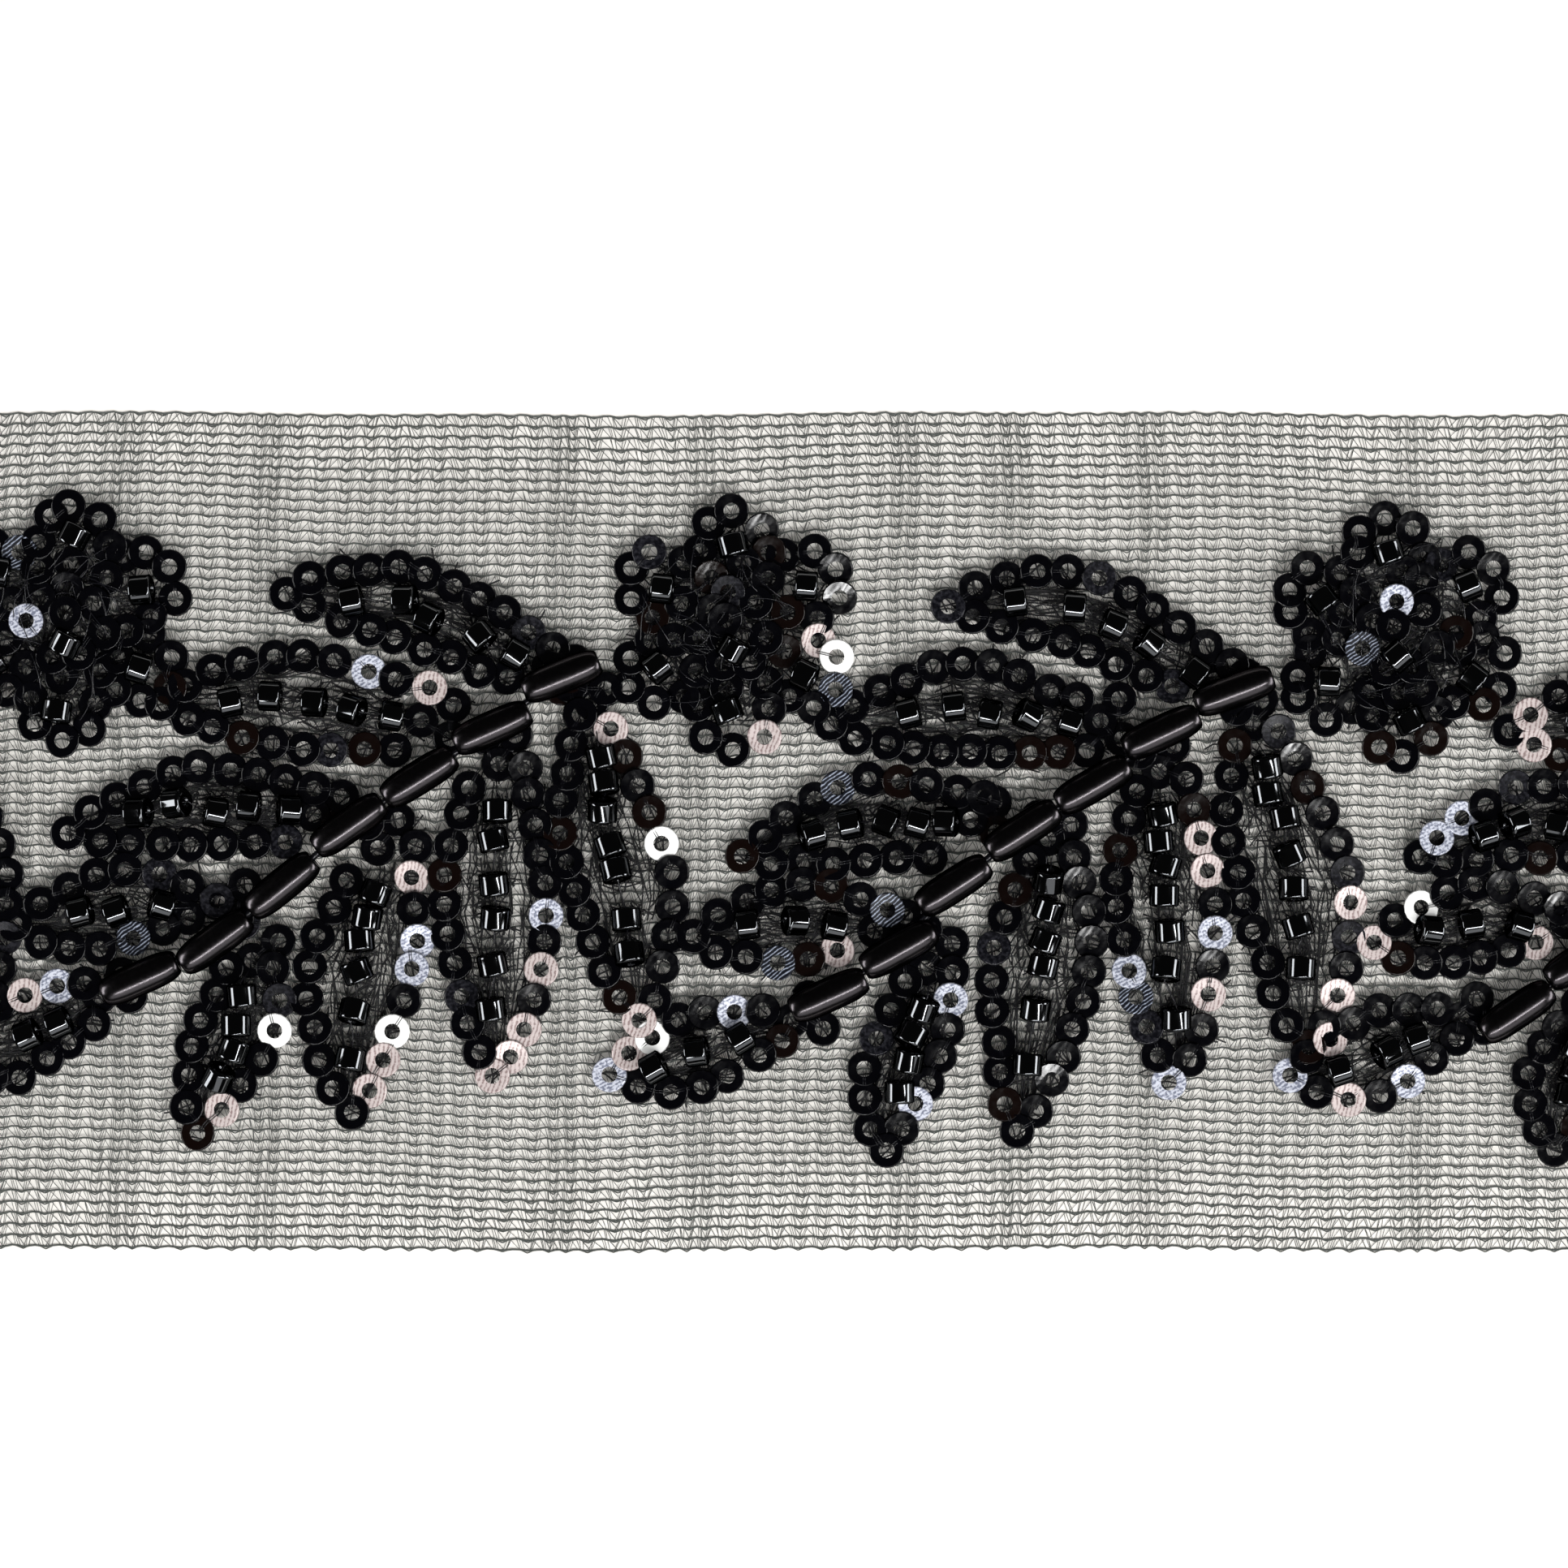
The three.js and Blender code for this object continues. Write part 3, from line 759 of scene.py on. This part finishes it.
# Sequins, beads and stitches


def sequin_profile():
    """A flat ring whose film dishes a little, from its hole over the top to its edge."""
    t = SEQUIN_FILM
    d = SEQUIN_DISH
    return (
        (SEQUIN_HOLE, 0.0),
        (SEQUIN_HOLE, t),
        (SEQUIN_RADIUS - SEQUIN_EDGE, t + d),
        (SEQUIN_RADIUS, 0.3 * t + d),
    )


def cylinder_profile():
    """A short cylinder with a hole, rounded rims and a faint waist."""
    half = CYLINDER_LENGTH / 2
    r = CYLINDER_RADIUS
    return (
        (CYLINDER_HOLE, -half + HOLE_BEVEL),
        (CYLINDER_HOLE, half - HOLE_BEVEL),
        (CYLINDER_HOLE + CYLINDER_LIP, half),
        (r - CYLINDER_BEVEL, half),
        (r, half - CYLINDER_RIM),
        (r - CYLINDER_WAIST, half - 2 * CYLINDER_RIM),
        (r - CYLINDER_WAIST, 2 * CYLINDER_RIM - half),
        (r, CYLINDER_RIM - half),
        (r - CYLINDER_BEVEL, -half),
        (CYLINDER_HOLE + CYLINDER_LIP, -half),
    )


def oval_profile():
    """A long barrel with a hole and blunt ends."""
    half = OVAL_LENGTH / 2
    outside = []
    for k in range(OVAL_RINGS + 1):
        share = math.cos(math.pi * k / OVAL_RINGS)
        belly = (1 - abs(share) ** OVAL_FULLNESS) ** OVAL_SHOULDER
        outside.append((OVAL_END_RADIUS + (OVAL_RADIUS - OVAL_END_RADIUS) * belly, half * share))
    return ((OVAL_HOLE, -half), (OVAL_HOLE, half), *outside)


RING = lathe(sequin_profile(), SEQUIN_SIDES)
# The ring's film is flat above and below, and its cut edges are rounded
RING_ROUND = np.tile((True, False, True, False), SEQUIN_SIDES)
CYLINDER = lathe(cylinder_profile(), CYLINDER_SIDES)
OVAL = lathe(oval_profile(), OVAL_SIDES)


class Sequin:
    """One ring: its middle, the way up, and the finish it wears, which for the pale ones is painted
    light.
    """

    def __init__(self, middle, up, finish_or_painted_light="black"):
        self.middle = np.asarray(middle, float)
        self.up = np.asarray(up, float) / np.linalg.norm(up)
        self.finish_or_painted_light = finish_or_painted_light


def tilted(direction, lean, side_lean):
    """A way up that leans along a direction, and a little to its side, in degrees."""
    along = math.tan(math.radians(lean))
    across = math.tan(math.radians(side_lean))
    return (
        -direction[0] * along - direction[1] * across,
        -direction[1] * along + direction[0] * across,
        1.0,
    )


def curve_point(points, at):
    """A point on a smooth curve through points, with at running from 0 to 1."""
    n = len(points) - 1
    k = min(int(at * n), n - 1)
    t = at * n - k
    p1 = np.array(points[k])
    p2 = np.array(points[k + 1])
    p0 = np.array(points[k - 1]) if k > 0 else 2 * p1 - p2
    p3 = np.array(points[k + 2]) if k < n - 1 else 2 * p2 - p1
    return 0.5 * (
        2 * p1
        + (p2 - p0) * t
        + (2 * p0 - 5 * p1 + 4 * p2 - p3) * t**2
        + (3 * p1 - p0 - 3 * p2 + p3) * t**3
    )


def even_places(points, first, last):
    """Places a sequin pitch apart along one side of a leaf, ends included."""
    line = np.array([curve_point(points, first + (last - first) * k / SIDE_SAMPLES)
                     for k in range(SIDE_SAMPLES + 1)])
    run = np.concatenate(([0], np.cumsum(np.linalg.norm(np.diff(line, axis=0), axis=1))))
    count = round(run[-1] / SEQUIN_PITCH)
    at = np.linspace(0, run[-1], count + 1)
    return np.stack([np.interp(at, run, line[:, axis]) for axis in (0, 1)], axis=-1)


def leaf_sequins(points, rng):
    """The chain of sequins round a leaf, from one root over its tip to the other."""
    one = even_places(points, 0.0, 0.5)
    other = even_places(points, 0.5, 1.0)
    chain = np.concatenate((one, other[1:]))
    made = []
    for k, place in enumerate(chain):
        after = chain[min(k + 1, len(chain) - 1)]
        before = chain[max(k - 1, 0)]
        direction = (after - before) / np.linalg.norm(after - before)
        nudge = np.array((rng.gauss(0, LEAF_NUDGE), rng.gauss(0, LEAF_NUDGE)))
        up = tilted(direction, LEAF_LEAN + rng.gauss(0, LEAF_LEAN_SPREAD), rng.gauss(0, LEAF_SIDE_SPREAD))
        height = SEQUIN_HEIGHT + rng.uniform(*LEAF_RISE)
        made.append(Sequin((*(place + nudge), height), up))
    return made


def root_sequins(points, rng):
    """Sequins that tuck in under the stem, past a leaf's root."""
    root = (np.array(points[0]) + np.array(points[4])) / 2
    way = root - np.array(points[2])
    way /= np.linalg.norm(way)
    across = np.array((-way[1], way[0]))
    made = []
    for run, side in ROOT_SEQUINS:
        run = run + rng.gauss(0, ROOT_NUDGE[0])
        side = side + rng.gauss(0, ROOT_NUDGE[1])
        place = root + way * run + across * side
        up = tilted(way, rng.gauss(0, ROOT_LEAN_SPREAD), rng.gauss(0, ROOT_LEAN_SPREAD))
        made.append(Sequin((*place, ROOT_HEIGHT), up))
    return made


def flower_sequins(x, y, turn, rng):
    """The sequins of a flower's petals, of its inner rings and of its middle."""
    made = []
    for k in range(PETALS):
        facing = math.radians(turn + PETAL_TURN * k)
        middle = np.array((x + PETAL_REACH * math.cos(facing), y + PETAL_REACH * math.sin(facing)))
        for angle in PETAL_SEQUIN_ANGLES:
            away = facing + math.radians(angle + rng.gauss(0, PETAL_ANGLE_SPREAD))
            out = np.array((math.cos(away), math.sin(away)))
            place = middle + PETAL_RADIUS * out + (rng.gauss(0, PETAL_NUDGE), rng.gauss(0, PETAL_NUDGE))
            along = np.array((-out[1], out[0]))
            lean = PETAL_LEAN + rng.gauss(0, PETAL_LEAN_SPREAD)
            up = tilted(along, lean, rng.gauss(0, PETAL_LEAN_SPREAD))
            made.append(Sequin((*place, SEQUIN_HEIGHT + rng.uniform(*PETAL_RISE)), up))
    for count, ring, offset, rise in INNER_RINGS:
        for k in range(count):
            away = math.radians(turn + offset + 360 * k / count + rng.gauss(0, INNER_ANGLE_SPREAD))
            out = np.array((math.cos(away), math.sin(away)))
            reach = ring + rng.gauss(0, INNER_NUDGE)
            up = tilted(out, rng.gauss(INNER_LEAN, INNER_LEAN_SPREAD), rng.gauss(0, INNER_LEAN_SPREAD))
            height = SEQUIN_HEIGHT + rise + rng.uniform(*INNER_RISE)
            made.append(Sequin((x + reach * out[0], y + reach * out[1], height), up))
    up = tilted((1.0, 0.0), rng.gauss(0, EYE_LEAN_SPREAD), rng.gauss(0, EYE_LEAN_SPREAD))
    eye_x = x + rng.gauss(0, EYE_SEQUIN_NUDGE)
    made.append(Sequin((eye_x, y + EYE_SEQUIN_SHIFT, SEQUIN_HEIGHT + EYE_SEQUIN_RISE), up))
    return made


def finish_sequins_and_paint_light(groups, rng):
    """Gives each charted place's nearest sequin its finish, the pale ones being painted light, and a few
    others a dull one: a brown film, or a grey one with patches of painted reflection.
    """
    every = [s for group in groups.values() for s in group]
    for sequin in every:
        draw = rng.random()
        if draw < BROWN_SHARE:
            sequin.finish_or_painted_light = "brown"
        elif draw < BROWN_SHARE + GREY_REFLECTION_SHARE:
            sequin.finish_or_painted_light = "reflection_grey"
    places = np.array([s.middle[:2] for s in every])
    for finish_or_painted_light, pixels in CHARTED_TONES_AND_PAINTED_LIGHT.items():
        for px, py in pixels:
            gap = np.linalg.norm(places - pixel_place(px, py), axis=1)
            every[int(gap.argmin())].finish_or_painted_light = finish_or_painted_light


def bead_places(points, beads, span, rng):
    """The middles and directions of the beads along a leaf's middle line."""
    made = []
    length = np.linalg.norm(np.array(points[2]) - (np.array(points[0]) + np.array(points[4])) / 2)
    step = (span[1] - span[0]) / (beads - 1)
    slack = max(step - LEAST_BEAD_STEP / length, 0)
    for k in range(beads):
        share = span[0] + step * k + slack * rng.uniform(-BEAD_SLACK, BEAD_SLACK)
        ends = [
            (curve_point(points, 0.5 * f) + curve_point(points, 1 - 0.5 * f)) / 2
            for f in (share - DIRECTION_REACH, share + DIRECTION_REACH)
        ]
        direction = (ends[1] - ends[0]) / np.linalg.norm(ends[1] - ends[0])
        middle = (ends[0] + ends[1]) / 2 + (rng.gauss(0, BEAD_NUDGE), rng.gauss(0, BEAD_NUDGE))
        if made:
            before = made[-1][0][:2]
            gap = middle - before
            middle = before + gap * max(LEAST_BEAD_STEP / np.linalg.norm(gap), 1)
        swing = rng.gauss(0, BEAD_SWING)
        axis = (
            direction[0] - swing * direction[1],
            direction[1] + swing * direction[0],
            rng.gauss(0, BEAD_TIP),
        )
        made.append((np.array((*middle, CYLINDER_AXIS_HEIGHT)), axis))
    return made


def flower_beads(x, y, turn, rng):
    """One bead on each petal, and a slanting one near the flower's middle."""
    made = []
    for k in range(PETALS):
        away = math.radians(turn + PETAL_TURN * k)
        place = (
            x + PETAL_REACH * math.cos(away) + rng.gauss(0, PETAL_BEAD_NUDGE),
            y + PETAL_REACH * math.sin(away) + rng.gauss(0, PETAL_BEAD_NUDGE),
            CYLINDER_AXIS_HEIGHT,
        )
        swing = away + rng.gauss(0, PETAL_BEAD_SWING)
        axis = (math.cos(swing), math.sin(swing), rng.gauss(0, PETAL_BEAD_TIP))
        made.append((np.array(place), axis))
    swing = rng.uniform(*EYE_BEAD_SWING)
    place = np.array((x, y - EYE_BEAD_SHIFT, CYLINDER_AXIS_HEIGHT + EYE_BEAD_RISE))
    made.append((place, (math.cos(swing), math.sin(swing), EYE_BEAD_TIP)))
    return made


def stitch(shape, sequin, toward, rng):
    """A thread that comes up through a sequin's hole and goes down past its edge."""
    way = np.asarray(toward[:2]) - sequin.middle[:2]
    way /= np.linalg.norm(way) + 1e-9
    across = np.array((-way[1], way[0]))
    top = sequin.middle[2] + SEQUIN_FILM
    drift = rng.gauss(0, STITCH_DRIFT)
    for strand in (-STITCH_GAP, STITCH_GAP):
        points = [
            (*(sequin.middle[:2] + way * run + across * (drift * run + strand)), top + rise)
            for run, rise in STITCH_PATH
        ]
        shape.add(*tube(points, STITCH_RADIUS, 3))


def stitches(chain, rng, shape):
    """Each sequin of a chain is stitched to the next, and many of them back again."""
    for k, sequin in enumerate(chain):
        after = chain[(k + 1) % len(chain)]
        if np.linalg.norm(after.middle - sequin.middle) < LONGEST_STITCH:
            stitch(shape, sequin, after.middle, rng)
        before = chain[k - 1]
        near = np.linalg.norm(before.middle - sequin.middle) < LONGEST_STITCH
        if rng.random() < BACK_STITCH_SHARE and near:
            stitch(shape, sequin, before.middle, rng)


def loose_threads(shape, x, y, rng):
    """Thin floats of thread that wander over a flower."""
    reach = PETAL_REACH + FLOAT_PAST_PETALS
    for _ in range(FLOATS_PER_FLOWER):
        start = rng.uniform(0, 2 * math.pi)
        end = start + rng.uniform(*FLOAT_TURN)
        bow = rng.uniform(-FLOAT_BOW, FLOAT_BOW)
        a = np.array((math.cos(start), math.sin(start))) * rng.uniform(*FLOAT_REACH) * reach
        b = np.array((math.cos(end), math.sin(end))) * rng.uniform(*FLOAT_REACH) * reach
        if np.linalg.norm(b - a) > LONGEST_FLOAT:
            b = a + (b - a) * LONGEST_FLOAT / np.linalg.norm(b - a)
        across = np.array((a[1] - b[1], b[0] - a[0])) / np.linalg.norm(b - a)
        points = []
        for k in range(FLOAT_STEPS + 1):
            t = k / FLOAT_STEPS
            arch = math.sin(math.pi * t)
            place = a + (b - a) * t + across * bow * arch
            points.append((x + place[0], y + place[1], FLOAT_LOW + FLOAT_ARCH * arch))
        shape.add(*tube(points, FLOAT_RADIUS))


def flower_backing(shape, x, y, rng):
    """Short black stitches that crowd the net under a flower."""
    for _ in range(BACKING_PER_FLOWER):
        away = rng.uniform(0, 2 * math.pi)
        reach = PETAL_REACH * BACKING_REACH * math.sqrt(rng.random())
        heading = rng.uniform(0, math.pi)
        half = rng.uniform(*BACKING_HALF)
        middle = (x + reach * math.cos(away), y + reach * math.sin(away))
        points = []
        for run, rise in BACKING_PATH:
            points.append((
                middle[0] + run * half * math.cos(heading) + rng.gauss(0, BACKING_JITTER),
                middle[1] + run * half * math.sin(heading) + rng.gauss(0, BACKING_JITTER),
                rng.uniform(*BACKING_HEIGHT) + rise,
            ))
        shape.add(*tube(points, BACKING_RADIUS, 3))


def crowded_stitches(shape, place, count, spread, rng):
    """Short stitches on the net round and under a sequin or a bead."""
    for _ in range(count):
        heading = rng.uniform(0, math.pi)
        half = np.array((math.cos(heading), math.sin(heading))) * rng.uniform(*CROWDED_HALF)
        middle = place[:2] + (rng.gauss(0, spread), rng.gauss(0, spread))
        bend = np.array((-half[1], half[0])) * rng.uniform(-CROWDED_BEND, CROWDED_BEND)
        points = [
            (*(middle - half), CROWDED_LOW),
            (*(middle + bend), CROWDED_HIGH),
            (*(middle + half), CROWDED_LOW),
        ]
        shape.add(*tube(points, BACKING_RADIUS, 3))


def leaf_backing(shape, outline, rng):
    """Black threads that run the length of a leaf between its two rows of sequins."""
    for _ in range(LENGTHWISE_PER_LEAF):
        first = rng.uniform(*LENGTHWISE_START)
        last = min(first + rng.uniform(*LENGTHWISE_RUN), LENGTHWISE_END)
        share = rng.uniform(*LENGTHWISE_SIDE)
        points = []
        for k in range(LENGTHWISE_STEPS + 1):
            at = first + (last - first) * k / LENGTHWISE_STEPS
            one = curve_point(outline, 0.5 * at)
            other = curve_point(outline, 1 - 0.5 * at)
            place = one + (other - one) * (share + rng.gauss(0, LENGTHWISE_WANDER))
            points.append((*place, LENGTHWISE_HEIGHT + rng.gauss(0, LENGTHWISE_JITTER)))
        shape.add(*tube(points, LENGTHWISE_RADIUS, 3))


def bead_thread(shape, beads, tail):
    """The thread that runs through a leaf's beads, down to the net between them."""
    points = [(*tail, BEAD_THREAD_END)]
    for k, (middle, axis) in enumerate(beads):
        step = np.asarray(axis[:2]) * (CYLINDER_LENGTH / 2 + BEAD_THREAD_PAST)
        points.append((*(middle[:2] - step), middle[2]))
        points.append((*(middle[:2] + step), middle[2]))
        if k + 1 < len(beads):
            between = (middle[:2] + beads[k + 1][0][:2]) / 2
            points.append((*between, BEAD_THREAD_LOW))
    shape.add(*tube(points, BEAD_THREAD_RADIUS))


def bead_shape(beads):
    """All of the cylinder beads of one leaf or flower."""
    shape = Shape()
    for middle, axis in beads:
        shape.add(placed(CYLINDER[0], middle, axis), CYLINDER[1])
    return shape


def sequin_piece(name, sequins, finishes_or_painted_light, rng):
    """One piece of the sequins that wear any of these finishes; the pale finishes are painted light."""
    shape = Shape()
    worn = [s for s in sequins if s.finish_or_painted_light in finishes_or_painted_light]
    for sequin in worn:
        points = placed(RING[0], sequin.middle, sequin.up, rng.uniform(0, SEQUIN_SPIN))
        shape.add(points, RING[1], finishes_or_painted_light.index(sequin.finish_or_painted_light))
    films = [FILM[finish_or_painted_light] for finish_or_painted_light in finishes_or_painted_light]
    return shape.piece(name, films, "sequins", np.tile(RING_ROUND, len(worn)))


def build_net():
    """The yarn rows, which stand for the net, and the net's finer threads."""
    rng = np.random.default_rng(SEED)
    yarn = net_rows(rng).piece("net_yarn_rows", [YARN], "net", mapped_flat=True)
    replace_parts(yarn, "net")
    pieces = [net_eyelets(rng).piece("net_eyelets", [YARN], "net", mapped_flat=True)]
    for k in range(FILAMENT_PIECES):
        part = net_filaments(k / FILAMENT_PIECES, (k + 1) / FILAMENT_PIECES, rng)
        name = f"net_filaments_{k + 1}"
        pieces.append(part.piece(name, [FILAMENT], "net", mapped_flat=True))
    return yarn, pieces


def build_ovals():
    """One piece for each oval bead of each stem."""
    for spray, beads in enumerate(STEMS, 1):
        for k, (x, y, rise) in enumerate(beads, 1):
            angle = math.radians(rise)
            shape = Shape()
            axis = (math.cos(angle), math.sin(angle), 0)
            shape.add(placed(OVAL[0], (x, y, OVAL_AXIS_HEIGHT), axis), OVAL[1])
            made = shape.piece(f"oval_bead_{spray}_{k}", [SATIN], "beads")
            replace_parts(made, f"stem_bead_{spray}_{k}")


def stem_thread(shape, beads):
    """The thread that joins the oval beads of a stem."""
    for (x, y, _), (x2, y2, _) in zip(beads, beads[1:]):
        ends = [(x, y, OVAL_AXIS_HEIGHT), (x2, y2, OVAL_AXIS_HEIGHT)]
        shape.add(*tube(ends, STEM_THREAD_RADIUS))


def build_work():
    """Everything that is sewn to the net, apart from the oval beads."""
    rng = random.Random(SEED)
    groups = {}
    beads = {}
    for name, (*outline, count) in LEAVES.items():
        groups[name] = leaf_sequins(outline, rng) + root_sequins(outline, rng)
        span = UPPER_BEADS_SPAN if name.startswith("upper") else LOWER_BEADS_SPAN
        if count <= SHORT_ROW:
            span = SHORT_ROW_SPAN
        beads[name] = bead_places(outline, count, span, rng)
    for name, (x, y, turn) in FLOWERS.items():
        groups[name] = flower_sequins(x, y, turn, rng)
        beads[name] = flower_beads(x, y, turn, rng)
    finish_sequins_and_paint_light(groups, rng)
    threads = Shape()
    for name, sequins in groups.items():
        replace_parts(sequin_piece(f"sequins_{name}", sequins, DARK_FINISHES, rng), name)
        bead_shape(beads[name]).piece(f"beads_{name}", [GLASS], "beads")
        stitches(sequins, rng, threads)
        if name in LEAVES:
            root = (np.array(LEAVES[name][0]) + np.array(LEAVES[name][4])) / 2
            bead_thread(threads, beads[name], root)
    every = [s for group in groups.values() for s in group]
    # The pale sequins, whose colours are painted glints and reflections
    sequin_piece("sequins_painted_light", every, PAINTED_LIGHT_FINISHES, rng)
    for x, y, _ in FLOWERS.values():
        loose_threads(threads, x, y, rng)
    backing = Shape()
    for x, y, _ in FLOWERS.values():
        flower_backing(backing, x, y, rng)
    for name, (*outline, _) in LEAVES.items():
        leaf_backing(backing, outline, rng)
        for sequin in groups[name]:
            crowded_stitches(backing, sequin.middle, BACKING_PER_SEQUIN, SPREAD_UNDER_SEQUIN, rng)
        for middle, _ in beads[name]:
            crowded_stitches(backing, middle, BACKING_PER_BEAD, SPREAD_UNDER_BEAD, rng)
    backing.piece("backing_threads", [BACKING], "net", mapped_flat=True)
    for row in STEMS:
        stem_thread(threads, row)
    threads.piece("stitch_threads", [STITCH], "net", mapped_flat=True)


# The floor, the lights and the camera


def build_floor():
    made, shader = node_material("pale surface", FLOOR_COLOUR, 0.6)
    tree = made.node_tree
    tree.links.new(mapped(tree, noise(tree, 0.3), 0.5, 0.7), shader.inputs["Roughness"])
    half = FLOOR_SIDE / 2
    mesh = bpy.data.meshes.new("floor")
    mesh.from_pydata([(-half, -half, 0), (half, -half, 0), (half, half, 0), (-half, half, 0)],
                     [], [(0, 1, 2, 3)])
    mesh.materials.append(made)
    floor = bpy.data.objects.new("floor", mesh)
    bpy.context.scene.collection.objects.link(floor)
    return floor


def area_light(name, place, size, power, mirrored):
    """A soft light that faces the trim's middle."""
    data = bpy.data.lights.new(name, "AREA")
    data.shape = "RECTANGLE"
    data.size, data.size_y = size
    data.energy = power
    light = bpy.data.objects.new(name, data)
    light.visible_glossy = mirrored
    light.location = place
    light.rotation_euler = (-Vector(place)).to_track_quat("-Z", "Y").to_euler()
    bpy.context.scene.collection.objects.link(light)


def build_lights():
    for light in LIGHTS:
        area_light(*light)
    world = bpy.data.worlds.new("studio")
    world.use_nodes = True
    world.node_tree.nodes["Background"].inputs["Color"].default_value = (1, 1, 1, 1)
    world.node_tree.nodes["Background"].inputs["Strength"].default_value = WORLD_STRENGTH
    bpy.context.scene.world = world


def build_camera():
    middle = pixel_place(PHOTO_SIDE / 2, PHOTO_SIDE / 2)
    side = PHOTO_SIDE / PIXELS_PER_MM * MM
    data = bpy.data.cameras.new("camera")
    data.lens = CAMERA_LENS
    data.sensor_width = CAMERA_SENSOR
    data.sensor_fit = "HORIZONTAL"
    data.clip_start = 0.01
    camera = bpy.data.objects.new("camera", data)
    camera.location = (middle[0] * MM, middle[1] * MM, side * CAMERA_LENS / CAMERA_SENSOR)
    bpy.context.scene.collection.objects.link(camera)
    bpy.context.scene.camera = camera


build_camera()
build_lights()
floor = build_floor()
net, net_threads = build_net()
build_ovals()
build_work()
bpy.context.scene.view_settings.view_transform = "Standard"
